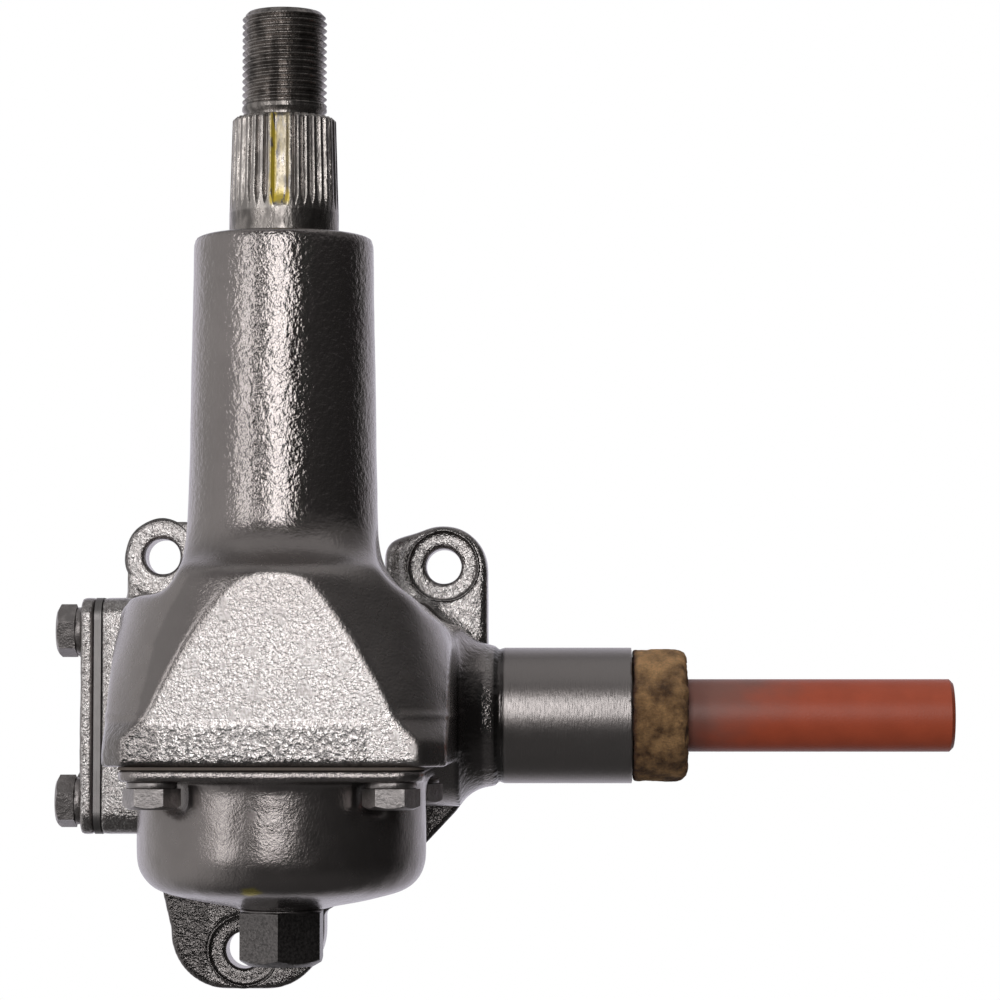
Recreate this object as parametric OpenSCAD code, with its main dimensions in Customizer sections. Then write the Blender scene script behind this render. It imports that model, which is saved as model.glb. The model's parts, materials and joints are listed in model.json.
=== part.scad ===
// Manual steering gear: a worm on the steering shaft drives a ball nut, whose rack swings a toothed sector
// shaft. The sector axis is vertical with its arm end up, the worm axis runs along X behind it, and the
// origin lies on the mounting face at the back, level with the worm and in line with the sector shaft.

/* [Layout] */
// Distance from the sector axis to the worm axis
center_distance = 60; // [59.5:0.25:64]
// Height of the neck's rim above the worm axis
neck_h = 124.8; // [110:0.2:140]
// Drop of the side cover joint below the worm axis
joint_drop = 12.5; // [12:0.25:15]

/* [Housing] */
// Distance from the sector axis to the flat front face
body_front = 38; // [37.5:0.25:40]
// Distance from the sector axis to the end wall on the shaft side
body_right = 44; // [43:0.5:47]
// Distance from the sector axis to the end wall on the cover side
body_left = 43; // [43:0.25:46]
// Height of the body's shoulder above the worm axis
shoulder_h = 31; // [28:0.5:33]
// Radius of the neck at its rim
neck_rim_r = 23.4; // [22.5:0.1:26]
// Radius of the neck at its foot
neck_foot_r = 24.6; // [23.5:0.1:27]
// Radius of the hollow blend from the neck to the bell
bell_blend_r = 15; // [12:0.5:17]
// Radius of the bell's rounded shoulder under the blend
bell_round_r = 7; // [5:0.5:9]
// Widening of the bell per millimetre of drop
bell_slope = 0.305; // [0.25:0.005:0.4]
// Step in the bell at the parting line
parting_step = 0.6; // [0.3:0.1:3]
// Widening of the bell's skirt below the parting line
skirt_flare = 4; // [2:0.25:5]
// Wall of the worm tunnel
tunnel_wall = 4; // [3:0.25:6]

/* [Mounting plate] */
// Thickness of the mounting lugs
lug_t = 14; // [10:0.5:18]
// Diameter of the frame bolt holes
frame_hole_d = 10.5; // [8:0.1:12]
// Diameter of the spot faces around the holes
spot_face_d = 19.4; // [16:0.2:22]
// Depth of the spot faces
spot_face_depth = 0.8; // [0.3:0.1:2]
// Lug on the cover side: distance from the sector axis
lug_left_x = 40.2; // [36:0.2:42]
// Lug on the cover side: height above the worm axis
lug_left_h = 44.6; // [42:0.2:48]
// Radius of the lug on the cover side
lug_left_r = 9.8; // [9:0.2:11]
// Lug on the shaft side: distance from the sector axis
lug_right_x = 39; // [36:0.2:42]
// Lug on the shaft side: height above the worm axis
lug_right_h = 41.8; // [40:0.2:46]
// Radius of the lug on the shaft side
lug_right_r = 12.4; // [10.5:0.25:13]
// Lower lug: distance of its hole from the sector axis
lug_low_x = 16.6; // [12:0.2:20]
// Lower lug: drop of its hole below the worm axis
lug_low_drop = 65.6; // [63:0.2:70]
// Lower lug: half of its width
lug_low_half_w = 21.5; // [18:0.5:23]

/* [Sector shaft] */
// Diameter of the sector shaft's journal
sector_d = 28.6; // [26:0.1:30]
// Journal length shown between the neck and the serrations
journal_show = 6; // [3:0.5:12]
// Length of the serrations
serration_l = 25.4; // [18:0.2:32]
// Serration taper, as loss of diameter over their length
serration_taper = 1.5; // [0.8:0.1:2.5]
// Number of serration grooves around the shaft
serration_count = 37; // [25:1:49]
// Angle between the two grooves beside the left-out tooth
locating_gap = 13; // [9:0.5:20]
// Depth of a serration groove
serration_depth = 1; // [0.5:0.1:1.4]
// Diameter of the arm thread
arm_thread_d = 22.2; // [18:0.1:24]
// Length of the arm thread
arm_thread_l = 26; // [16:0.2:32]
// Length of the plain relief below the arm thread
relief_l = 2; // [1:0.2:4]
// Diameter of the lower journal in the side cover
lower_journal_d = 25.4; // [24:0.1:27]

/* [Gear pair] */
// Pitch radius of the sector
sector_pitch_r = 30; // [29.5:0.1:30.2]
// Tooth module of the rack and sector
tooth_module = 3.5; // [3.2:0.05:3.6]
// Half of the rack's and sector's face width
face_half_w = 8.5; // [7:0.25:8.6]
// Play between rack and sector teeth at the pitch line
backlash = 0.3; // [0.2:0.05:0.6]
// Steering shaft turns for one turn of the sector shaft
gear_ratio = 20; // [18:1:22]

/* [Ball screw] */
// Diameter of the balls in the nut and in the bearings
ball_d = 5.56; // [5:0.02:5.6]
// Radius of the ball circle around the worm axis
ball_circle_r = 11; // [10.8:0.1:11.4]
// Half of the nut's length
nut_half_l = 22; // [21:0.25:23]
// Radius of the nut's round body
nut_r = 19.5; // [19:0.1:20]
// Radius of the worm tunnel's bore
tunnel_bore_r = 21; // [20.8:0.1:22]
// Half of the length of the worm's ball track
track_half_l = 39; // [37:0.5:39.5]
// Balls in each of the nut's two circuits
circuit_balls = 15; // [12:1:16]

/* [Worm bearings] */
// Radius of the ball circle of the worm bearings
bearing_circle_r = 11.5; // [11.2:0.1:12]
// Distance of the bearing balls from the sector axis
bearing_at = 45.5; // [45:0.25:46.5]
// Outer radius of the bearing cups
cup_r = 16; // [15.6:0.1:16.6]
// Length of the bearing cups outside the ball plane
cup_back_l = 5; // [4:0.25:6]
// Balls in each bearing
bearing_balls_n = 10; // [7:1:11]

/* [End cover] */
// Distance from the sector axis to the flange face under the shims
end_face = 52.1; // [51.5:0.1:53]
// Height of the end cover
end_cover_h = 64; // [60:0.5:66]
// Thickness of the end cover
end_cover_t = 3.7; // [2.5:0.1:5]
// Thickness of one of the two shims
shim_t = 0.95; // [0.5:0.05:1.5]
// Thickness of the housing's flange under the end cover
end_flange_t = 10.7; // [9:0.1:12]
// Half of the bolt spacing over the end cover's height
end_bolt_half = 23.1; // [22:0.1:24]

/* [Side cover] */
// Radius of the dome
dome_r = 37.3; // [36.5:0.1:37.8]
// Depth of the dome's crown below the worm axis
dome_drop = 49.7; // [48:0.1:53]
// Radius of the dome's rounded rim
dome_round_r = 9.5; // [7:0.25:11]
// Radius of the dome's gently curved crown
dome_crown_r = 105; // [80:5:160]
// Half of the side cover flange's width
cover_half_w = 38.5; // [38:0.25:40]
// Reach of the flange in front of the sector axis
cover_front = 39; // [38.5:0.25:41]
// Reach of the flange behind the sector axis
cover_back = 37.5; // [37.3:0.1:37.8]
// Corner radius of the flange
cover_corner_r = 7; // [4:0.5:10]
// Thickness of the flange
cover_flange_t = 3; // [2.5:0.1:4]
// Thickness of the cover gasket
gasket_t = 0.7; // [0.4:0.1:1.2]
// Radius of the sector chamber and of its opening
chamber_r = 34.2; // [34:0.1:34.6]
// Front cover bolts: half of their spacing
front_bolt_half = 30; // [29:0.25:31]
// Front cover bolts: distance in front of the sector axis
front_bolt_y = 32; // [31:0.25:32.5]
// Rear cover bolts: half of their spacing
rear_bolt_half = 33.6; // [33.2:0.1:34]
// Rear cover bolts: distance behind the sector axis
rear_bolt_y = 20.5; // [20:0.1:21]
// Radius of the pockets that clear the cover bolt heads
pocket_r = 9.2; // [8.4:0.1:9.8]
// Drop of the pocket's shelf below the worm axis
pocket_drop = 24.5; // [23.5:0.25:28]

/* [Lash adjuster] */
// Width across flats of the cap nut
cap_nut_af = 20.7; // [18:0.1:24]
// Height of the cap nut
cap_nut_h = 13.8; // [11:0.2:18]
// Diameter of the adjuster screw
adjuster_d = 9.5; // [8:0.1:11]
// Diameter of the adjuster screw's head
adjuster_head_d = 15; // [13:0.2:16]

/* [Column end] */
// Length of the flared boss on the end wall
boss_l = 10; // [8:0.5:13]
// Radius of the boss at its outer end
boss_r = 19.5; // [19.4:0.1:22]
// Radius of the boss at the end wall
boss_root_r = 25.5; // [23:0.25:27]
// Diameter of the column spigot
spigot_d = 37.4; // [35:0.1:38.6]
// Length of the column spigot
spigot_l = 37.7; // [25:0.5:50]
// Diameter of the felt ring
felt_d = 36.6; // [34:0.1:38]
// Length of the felt ring
felt_l = 15.3; // [10:0.5:20]
// Diameter of the steering shaft
shaft_d = 20; // [18:0.1:21]
// Length of steering shaft outside the felt ring
shaft_show = 73; // [40:1:900]
// Bore of the tubular steering shaft
shaft_bore_d = 13; // [10:0.1:14]

/* [Fasteners] */
// Diameter of the cover bolts
bolt_d = 7.94; // [6:0.02:8]
// Width across flats of the cover bolts
bolt_af = 12.7; // [10:0.1:13]
// Height of the bolt heads
bolt_head_h = 5.2; // [4:0.1:6]
// Thickness of the lock washers
washer_t = 1.7; // [1:0.1:2.2]
// Depth of the bolts in the housing
bolt_grip = 11; // [8:0.5:13]

/* [Fits] */
// Radial play of a shaft in its bushing
run_fit = 0.05; // [0.02:0.01:0.09]
// Radial play of a seated piece in its bore
seat_fit = 0.02; // [0.01:0.01:0.05]
// Room between pieces that pass each other
room = 0.6; // [0.4:0.1:0.8]
// Play of a ball in its track
track_play = 0.25; // [0.15:0.05:0.35]
// Play of a bolt in its clearance hole, on the diameter
bolt_play = 0.6; // [0.3:0.1:1]

/* [Hidden] */
$fn = 72;

eps = 0.05;
arc_steps = 10;
ball_r = ball_d / 2;
tunnel_r = tunnel_bore_r + tunnel_wall;
mount_skin = 1;
sector_y = -(center_distance + tunnel_r + mount_skin);
worm_y = sector_y + center_distance;
lug_front_y = center_distance + tunnel_r + mount_skin - lug_t;
bell_top_h = shoulder_h + 7;
// Drop below the parting line over which the skirt widens
flare_drop = 6;

// Stations along the sector axis
serration_z = neck_h + journal_show;
relief_z = serration_z + serration_l;
thread_z = relief_z + relief_l;
arm_end_z = thread_z + arm_thread_l;
chamber_top = face_half_w + 1.5;
flange_z = -joint_drop - gasket_t - cover_flange_t;
sector_foot_z = -35;
boss_floor_z = sector_foot_z - 2;
// Least land of the side cover around the chamber
cover_land = 3.2;

// Neck bore, bushings and seal
bushing_wall = 2.6;
bushing_l = 23;
neck_bore_r = sector_d / 2 + bushing_wall;
lower_bushing_z = chamber_top + 6;
seal_l = 6;
seal_recess = 1.6;
seal_z = neck_h - seal_recess - seal_l;
upper_bushing_z = seal_z - 1 - bushing_l;
cover_bushing_r = lower_journal_d / 2 + bushing_wall;
cover_bushing_z = -joint_drop - 4;

// Teeth
tooth_pitch = PI * tooth_module;
pressure_angle = 20;
dedendum = 1.22 * tooth_module;
tooth_angle = tooth_pitch / sector_pitch_r * 180 / PI;
sector_tip_r = sector_pitch_r + tooth_module - 0.1;
sector_root_r = sector_pitch_r - dedendum;
hub_wall = 4.5;
// T-slot in the sector shaft's foot: height, height of the lips under it, play at the adjuster's head
tslot_h = 4.4;
tslot_lip_h = 3.4;
tslot_play = 0.15;
// Room beside the adjuster's head and beside its stem
head_room = 1;
stem_room = 1.4;
// Chamfer at the shaft's end and depth of the relief under the thread
arm_chamfer = 1.5;
relief_depth = 1.2;
// Step down from the journal to the serrations, and their overlap into the journal
serration_step = 0.2;
serration_bury = 1;
// Share of the serration pitch that a groove takes
groove_share = 0.84;
rack_pitch_y = sector_pitch_r;
worm_lead = 2 * PI * sector_pitch_r / gear_ratio;
nut_travel = 17.4;

// Ball screw surfaces
track_r = ball_r + track_play;
worm_r = ball_circle_r - 0.7;
collar_r = worm_r + 0.4;
nut_bore_r = ball_circle_r + 0.8;
track_sides = 16;
guide_r = 2.9;
guide_at = 15.6;
guide_flat = 14.8;
guide_lift = 0.2;
guide_half_gap = 3.4;
guide_l = 15.2;
clamp_t = 0.8;
clamp_half_l = 12;
clamp_half_w = 4;
clamp_at = guide_at + guide_r;
clamp_screw_r = 1.5;
clamp_screw_grip = 1.7;

// Bearings and end cover
journal_r = 8;
cup_step = 0.8;
cup_lip_r = bearing_circle_r - 1;
cup_mouth_r = bearing_circle_r + 2.2;
cup_front_l = 2.6;
race_r = ball_r + 0.06;
cage_r = bearing_circle_r + 1.2;
cage_t = 0.7;
cover_outer = end_face + 2 * shim_t + end_cover_t;
cover_inner = end_face + 2 * shim_t;
end_corner_r = 6;
end_half_d = tunnel_r + mount_skin - 0.5;
end_bolt_y = end_half_d - 7;
end_bolt_grip = end_flange_t - 1.2;
end_boss_r = 12;
end_boss_h = 1.4;
pilot_reach = bearing_at - cup_front_l - 0.4;

// Column end
boss_end = body_right + boss_l;
spigot_end = boss_end + spigot_l;
felt_end = spigot_end + felt_l;
shaft_end = felt_end + shaft_show;
shaft_start = boss_end + 4;
stub_l = 24;
passage_r = shaft_d / 2 + 1.6;
felt_play = 0.3;
felt_seat = 0.25;

// Places of the four bolts of each cover
side_bolts = [
    [-front_bolt_half, -front_bolt_y], [front_bolt_half, -front_bolt_y],
    [-rear_bolt_half, rear_bolt_y], [rear_bolt_half, rear_bolt_y]
];
end_bolts = [for (a = [-1, 1], b = [-1, 1]) [a * end_bolt_half, b * end_bolt_y]];

// Frames of the two axes; along the worm axis, local Z points along +X
module at_sector() {
    translate([0, sector_y, 0]) children();
}

module at_worm() {
    translate([0, worm_y, 0]) rotate([0, 90, 0]) children();
}

// Points of an arc around a centre, both ends included
function arc(c, r, a0, a1, n = arc_steps) =
    [for (i = [0:n]) c + r * [cos(a0 + (a1 - a0) * i / n), sin(a0 + (a1 - a0) * i / n)]];

module rounded_rect(x0, y0, x1, y1, r) {
    translate([x0 + r, y0]) square([x1 - x0 - 2 * r, y1 - y0]);
    translate([x0, y0 + r]) square([x1 - x0, y1 - y0 - 2 * r]);
    for (x = [x0 + r, x1 - r], y = [y0 + r, y1 - r])
        translate([x, y]) circle(r);
}

module ring(outer, inner, h) {
    difference() {
        cylinder(r = outer, h = h);
        translate([0, 0, -eps]) cylinder(r = inner, h = h + 2 * eps);
    }
}

// Hex head with its top corners chamfered; the head stands on Z = 0
module hex_head(af, h, chamfer = 1) {
    corner = af / sqrt(3);
    intersection() {
        cylinder(r = corner, h = h, $fn = 6);
        union() {
            cylinder(r = corner + eps, h = h - chamfer);
            translate([0, 0, h - chamfer]) cylinder(r1 = corner, r2 = corner - 1.7 * chamfer, h = chamfer);
        }
    }
}

module hex_bolt(shank) {
    hex_head(bolt_af, bolt_head_h);
    translate([0, 0, -shank]) cylinder(d = bolt_d, h = shank + eps);
}

module split_washer() {
    difference() {
        ring(bolt_af / 2, bolt_d / 2 + 0.1, washer_t);
        translate([0, -0.5, -eps]) cube([bolt_af, 1, washer_t + 2 * eps]);
    }
}

// Housing

// Front outline of the body: a flat shoulder on the cover side and a rounded one on the shaft side
module body_outline() {
    left_r = 6;
    hollow_r = 7;
    right_r = 9;
    top = neck_h / 2;
    polygon(concat(
        [[neck_foot_r, top]],
        [for (p = arc([neck_foot_r + bell_blend_r, shoulder_h + bell_blend_r - 1], bell_blend_r, 180, 245)) p],
        arc([body_right - right_r, shoulder_h - 4 - right_r], right_r, 70, 0),
        [[body_right, -joint_drop], [-body_left, -joint_drop]],
        arc([-body_left + left_r, shoulder_h - left_r], left_r, 180, 95),
        arc([-neck_foot_r - hollow_r, shoulder_h + hollow_r], hollow_r, 270, 360),
        [[-neck_foot_r, top]]
    ));
}

// Section of the neck and bell around the sector axis: hollow blend, rounded shoulder, widening skirt
module bell_section() {
    rim_r = 1.5;
    blend_end = 250;
    skirt = atan(bell_slope);
    blend_c = [neck_foot_r + bell_blend_r, bell_top_h + bell_blend_r];
    out = [cos(blend_end), sin(blend_end)];
    round_c = blend_c + (bell_blend_r + bell_round_r) * out;
    skirt_top = round_c + bell_round_r * [cos(skirt), sin(skirt)];
    foot_r = skirt_top[0] + bell_slope * skirt_top[1];
    polygon(concat(
        [[0, -joint_drop], [foot_r + skirt_flare, -joint_drop], [foot_r + skirt_flare, -flare_drop]],
        [[foot_r + parting_step, -1], [foot_r, 0]],
        arc(round_c, bell_round_r, skirt, blend_end - 186),
        arc(blend_c, bell_blend_r, blend_end, 180),
        arc([neck_rim_r - rim_r, neck_h - rim_r], rim_r, 0, 90, 4),
        [[0, neck_h]]
    ));
}

module body() {
    back = lug_front_y + 1;
    wide = 2 * (body_left + body_right);
    intersection() {
        translate([0, back, 0]) rotate([90, 0, 0]) linear_extrude(back + body_front) body_outline();
        union() {
            rotate_extrude() bell_section();
            translate([-wide / 2, 0, -joint_drop]) cube([wide, back, joint_drop + shoulder_h]);
        }
    }
    translate([0, 0, neck_h / 2 - 1]) rotate_extrude() intersection() {
        translate([0, -neck_h / 2 + 1]) bell_section();
        square([neck_foot_r + 1, neck_h]);
    }
}

module end_plate(h) {
    half = end_cover_h / 2;
    linear_extrude(h) rounded_rect(-half, -end_half_d, half, end_half_d, end_corner_r);
}

// Flared boss: a hollow blend from the end wall down to the spigot
module boss_flare() {
    rise = boss_root_r - boss_r;
    flare_r = (pow(boss_l, 2) + pow(rise, 2)) / (2 * rise);
    turn = asin(boss_l / flare_r);
    rotate_extrude() polygon(concat(
        [[0, 0]],
        arc([boss_r + flare_r, boss_l], flare_r, 180 + turn, 180),
        [[0, boss_l]]
    ));
}

// Tunnel around the worm with its end flange, the flared boss and the spigot
module worm_tunnel() {
    translate([0, center_distance, 0]) rotate([0, 90, 0]) {
        translate([0, 0, -end_face + 1]) cylinder(r = tunnel_r, h = end_face - 1 + body_right);
        translate([0, 0, -end_face]) end_plate(end_flange_t);
        translate([0, 0, body_right - eps]) boss_flare();
        translate([0, 0, boss_end - 1]) cylinder(d = spigot_d, h = spigot_l + 1);
    }
}

// Outline of the mounting plate, seen from the front
module plate_outline() {
    low_r = 16;
    low_lean = 1;
    low_flare = 1.9;
    low_left = -lug_low_x - lug_low_half_w + low_lean;
    low_right = -lug_low_x + lug_low_half_w + low_lean;
    low_bottom = -lug_low_drop - 10.7;
    low_top = low_bottom + 2 * low_r + 3;
    low_neck = -lug_low_drop + 10;
    edge_right = lug_right_x + lug_right_r;
    edge_left = lug_left_x + lug_left_r;
    ear_h = lug_right_h - 1;
    ear_r = 5;
    ear_x = neck_foot_r + 3;
    translate([-lug_left_x, lug_left_h]) circle(lug_left_r);
    translate([lug_right_x, ear_h]) circle(lug_right_r);
    polygon(concat(
        [[-edge_left, lug_left_h], [-edge_left, -tunnel_r], [-body_left, -tunnel_r - 8]],
        [[low_left - low_flare, low_neck + 4], [low_left + 0.1, low_neck - 4.4]],
        [[low_right - 1, low_neck], [low_right + 9, low_neck + 6]],
        [[body_right - 10, -tunnel_r - 11], [body_right - 1.5, -tunnel_r - 2], [body_right + 3.5, -tunnel_r + 5]],
        [[edge_right, -tunnel_r / 3], [edge_right, ear_h], [lug_right_x, ear_h + lug_right_r]],
        arc([ear_x, ear_h + 4], ear_r, 105, 180, 5),
        [[ear_x - ear_r, shoulder_h], [-neck_foot_r + 4, shoulder_h]],
        [[-neck_foot_r + 4, lug_left_h + lug_left_r], [-lug_left_x, lug_left_h + lug_left_r]]
    ));
    rounded_rect(low_left, low_bottom, low_right, low_top, low_r);
}

module mount_plate() {
    back = lug_front_y + lug_t;
    translate([0, back, 0]) rotate([90, 0, 0]) linear_extrude(lug_t) plate_outline();
}

// Places of the frame bolt holes, as X and Z
function frame_holes() = [[-lug_left_x, lug_left_h], [lug_right_x, lug_right_h], [-lug_low_x, -lug_low_drop]];

module housing_bores() {
    rack_half_l = nut_half_l + nut_travel + 1.2;
    rack_half_w = face_half_w + 0.7;
    translate([0, 0, -joint_drop - eps]) cylinder(r = chamber_r, h = joint_drop + chamber_top + eps);
    cylinder(r = neck_bore_r, h = neck_h + 1);
    translate([-rack_half_l, rack_pitch_y - tooth_module - room, -rack_half_w])
        cube([2 * rack_half_l, center_distance - rack_pitch_y, 2 * rack_half_w]);
    for (p = side_bolts)
        translate([p[0], p[1], -joint_drop - eps]) cylinder(d = bolt_d, h = bolt_grip + 2);
    translate([0, center_distance, 0]) rotate([0, 90, 0]) {
        translate([0, 0, -end_face - eps]) cylinder(r = tunnel_bore_r, h = end_face + rack_half_l);
        cylinder(r = cup_r + seat_fit, h = bearing_at + cup_back_l);
        cylinder(r = passage_r, h = spigot_end + 1);
        for (p = end_bolts)
            translate([p[0], p[1], -end_face - eps]) cylinder(d = bolt_d, h = end_flange_t + 2 * eps);
    }
    for (p = frame_holes()) {
        translate([p[0], lug_front_y - 1, p[1]]) rotate([-90, 0, 0]) cylinder(d = frame_hole_d, h = lug_t + 2);
        translate([p[0], lug_front_y + spot_face_depth, p[1]])
            rotate([90, 0, 0]) cylinder(d = spot_face_d, h = 2 * spot_face_depth);
    }
}

module housing() {
    color("dimgray") at_sector() difference() {
        union() {
            body();
            worm_tunnel();
            mount_plate();
        }
        housing_bores();
    }
}

module sector_bushing(z) {
    translate([0, 0, z]) ring(neck_bore_r, sector_d / 2 + run_fit, bushing_l);
}

module upper_sector_bushing() {
    color("goldenrod") at_sector() sector_bushing(upper_bushing_z);
}

module lower_sector_bushing() {
    color("goldenrod") at_sector() sector_bushing(lower_bushing_z);
}

module sector_shaft_seal() {
    color("black") at_sector() translate([0, 0, seal_z]) difference() {
        ring(neck_bore_r, sector_d / 2 + run_fit, seal_l);
        translate([0, 0, -eps]) ring(neck_bore_r - 1, sector_d / 2 + 0.9, seal_l / 2);
    }
}

// Sector shaft

// Tapered serrations: V grooves spaced evenly, with one tooth left out at the front to locate the arm
module serrations() {
    tip = sector_d / 2 - serration_step;
    root = tip - serration_depth;
    step = (360 - locating_gap) / (serration_count - 1);
    side = step * groove_share / 2;
    last = serration_count - 1;
    outline = [
        for (i = [0:last])
            let (a = -90 + locating_gap / 2 + i * step)
            each [
                if (i > 0) tip * [cos(a - side), sin(a - side)],
                root * [cos(a), sin(a)],
                if (i < last) tip * [cos(a + side), sin(a + side)]
            ]
    ];
    translate([0, 0, -serration_bury])
        linear_extrude(serration_l + serration_bury, scale = 1 - serration_taper / sector_d) polygon(outline);
}

// Angle of a tooth flank away from its centre line, at radius r
function involute(r, base) = sqrt(pow(r / base, 2) - 1) * 180 / PI - acos(base / r);

// One flank of a sector tooth from root to tip, as [radius, half angle]
function flank() =
    let (base = sector_pitch_r * cos(pressure_angle),
         half = tooth_angle / 4 - backlash / sector_pitch_r * 90 / PI,
         at_pitch = involute(sector_pitch_r, base),
         at_base = half + at_pitch)
    concat([[sector_root_r, at_base]],
        [for (i = [0:6]) let (r = base + (sector_tip_r - base) * i / 6) [r, half + at_pitch - involute(r, base)]]);

// Outline of the toothed sector, teeth towards +Y
module sector_outline() {
    side = flank();
    last = len(side) - 1;
    polygon(concat(
        [[0, 0]],
        [for (k = [-1, 0, 1]) let (mid = 90 - k * tooth_angle)
            each concat(
                [for (p = side) p[0] * [cos(mid + p[1]), sin(mid + p[1])]],
                [for (i = [last:-1:0]) side[i][0] * [cos(mid - side[i][1]), sin(mid - side[i][1])]])]
    ));
    circle(sector_d / 2 + hub_wall);
}

module sector_shaft() {
    slot_w = adjuster_head_d + head_room;
    slot_neck_w = adjuster_d + stem_room;
    thread_r = arm_thread_d / 2;
    color("gray") at_sector() difference() {
        union() {
            translate([0, 0, -face_half_w]) linear_extrude(2 * face_half_w) sector_outline();
            cylinder(d = sector_d, h = serration_z);
            translate([0, 0, serration_z]) serrations();
            translate([0, 0, relief_z - eps]) cylinder(r = thread_r - relief_depth, h = relief_l + 2 * eps);
            translate([0, 0, thread_z]) cylinder(r = thread_r, h = arm_thread_l - arm_chamfer);
            translate([0, 0, arm_end_z - arm_chamfer])
                cylinder(r1 = thread_r, r2 = thread_r - arm_chamfer, h = arm_chamfer);
            translate([0, 0, sector_foot_z]) cylinder(d = lower_journal_d, h = -sector_foot_z);
        }
        translate([-sector_d, -slot_w / 2, sector_foot_z + tslot_lip_h]) cube([2 * sector_d, slot_w, tslot_h]);
        translate([-sector_d, -slot_neck_w / 2, sector_foot_z - 1])
            cube([2 * sector_d, slot_neck_w, tslot_lip_h + 1 + eps]);
    }
}

// Lash adjuster: its head hangs in the shaft's T-slot and its stem runs out through the dome
adjuster_head_h = 3.2;
adjuster_shim_t = 0.9;
adjuster_head_z = sector_foot_z + tslot_lip_h + tslot_play;
stem_end_z = -dome_drop - cap_nut_h + 4;

module lash_adjuster_screw() {
    color("silver") at_sector() {
        translate([0, 0, adjuster_head_z]) cylinder(d = adjuster_head_d, h = adjuster_head_h);
        translate([0, 0, stem_end_z]) cylinder(d = adjuster_d, h = adjuster_head_z - stem_end_z + eps);
    }
}

module adjuster_shim() {
    color("gold") at_sector() translate([0, 0, adjuster_head_z + adjuster_head_h])
        cylinder(d = adjuster_head_d - 1, h = adjuster_shim_t - 0.2);
}

adjuster_washer_t = 0.8;

module adjuster_washer() {
    color("silver") at_sector() translate([0, 0, -dome_drop - adjuster_washer_t])
        ring(cap_nut_af / 2 + 0.4, adjuster_d / 2 + 0.1, adjuster_washer_t);
}

module adjuster_cap_nut() {
    wall = 3;
    color("dimgray") at_sector() translate([0, 0, -dome_drop - adjuster_washer_t]) mirror([0, 0, 1])
        difference() {
            rotate(30) hex_head(cap_nut_af, cap_nut_h, 2);
            translate([0, 0, -eps]) cylinder(d = adjuster_d, h = cap_nut_h - wall + eps);
        }
}

// Side cover

module cover_outline() {
    least = chamber_r + cover_land;
    half_w = max(cover_half_w, least);
    rounded_rect(-half_w, -max(cover_front, least), half_w, max(cover_back, least), cover_corner_r);
}

// Section of the dome: straight side, rounded rim, gently curved crown
module dome_section() {
    rim_c = dome_r - dome_round_r;
    crown_z = -dome_drop + dome_crown_r;
    slant = asin(rim_c / (dome_crown_r - dome_round_r));
    rim_z = crown_z - (dome_crown_r - dome_round_r) * cos(slant);
    pad_r = cap_nut_af / 2 + 1.4;
    polygon(concat(
        [[0, flange_z + eps], [dome_r, flange_z + eps]],
        arc([rim_c, rim_z], dome_round_r, 0, slant - 90),
        arc([0, crown_z], dome_crown_r, slant - 90, -90)
    ));
    translate([0, -dome_drop]) square([pad_r, 2]);
}

module side_cover() {
    cavity_r = 27;
    boss_wall = 4;
    pilot_wall = 3;
    pilot_h = 2.4;
    floor_z = boss_floor_z;
    bushing_r = cover_bushing_r + seat_fit;
    color("dimgray") at_sector() difference() {
        union() {
            translate([0, 0, flange_z]) linear_extrude(cover_flange_t) cover_outline();
            translate([0, 0, flange_z]) ring(chamber_r - 0.3, chamber_r - pilot_wall, cover_flange_t + pilot_h);
            rotate_extrude() dome_section();
        }
        for (p = side_bolts) {
            translate([p[0], p[1], -pocket_drop]) cylinder(r = pocket_r, h = pocket_drop + flange_z);
            translate([p[0], p[1], flange_z - 1]) cylinder(d = bolt_d + bolt_play, h = cover_flange_t + 2);
        }
        difference() {
            translate([0, 0, floor_z]) cylinder(r = cavity_r, h = -floor_z);
            translate([0, 0, floor_z - 1]) cylinder(r = bushing_r + boss_wall, h = cover_bushing_z - floor_z + 1);
        }
        translate([0, 0, floor_z]) cylinder(r = bushing_r, h = -floor_z);
        translate([0, 0, -dome_drop - 1]) cylinder(d = adjuster_d, h = dome_drop);
    }
}

module side_cover_bushing() {
    color("goldenrod") at_sector() translate([0, 0, sector_foot_z])
        ring(cover_bushing_r, lower_journal_d / 2 + run_fit, cover_bushing_z - sector_foot_z);
}

module side_cover_gasket() {
    color("saddlebrown") at_sector() translate([0, 0, -joint_drop - gasket_t]) difference() {
        linear_extrude(gasket_t) cover_outline();
        translate([0, 0, -eps]) cylinder(r = chamber_r, h = gasket_t + 2 * eps);
        for (p = side_bolts)
            translate([p[0], p[1], -eps]) cylinder(d = bolt_d + bolt_play, h = gasket_t + 2 * eps);
    }
}

module side_cover_bolts() {
    color("darkgray") at_sector() for (p = side_bolts)
        translate([p[0], p[1], flange_z - washer_t]) mirror([0, 0, 1])
            hex_bolt(washer_t + cover_flange_t + gasket_t + bolt_grip);
}

module side_cover_lockwashers() {
    color("darkgray") at_sector() for (p = side_bolts)
        translate([p[0], p[1], flange_z - washer_t]) split_washer();
}

// End cover on the worm tunnel, with the bearing seat in its pilot

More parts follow.
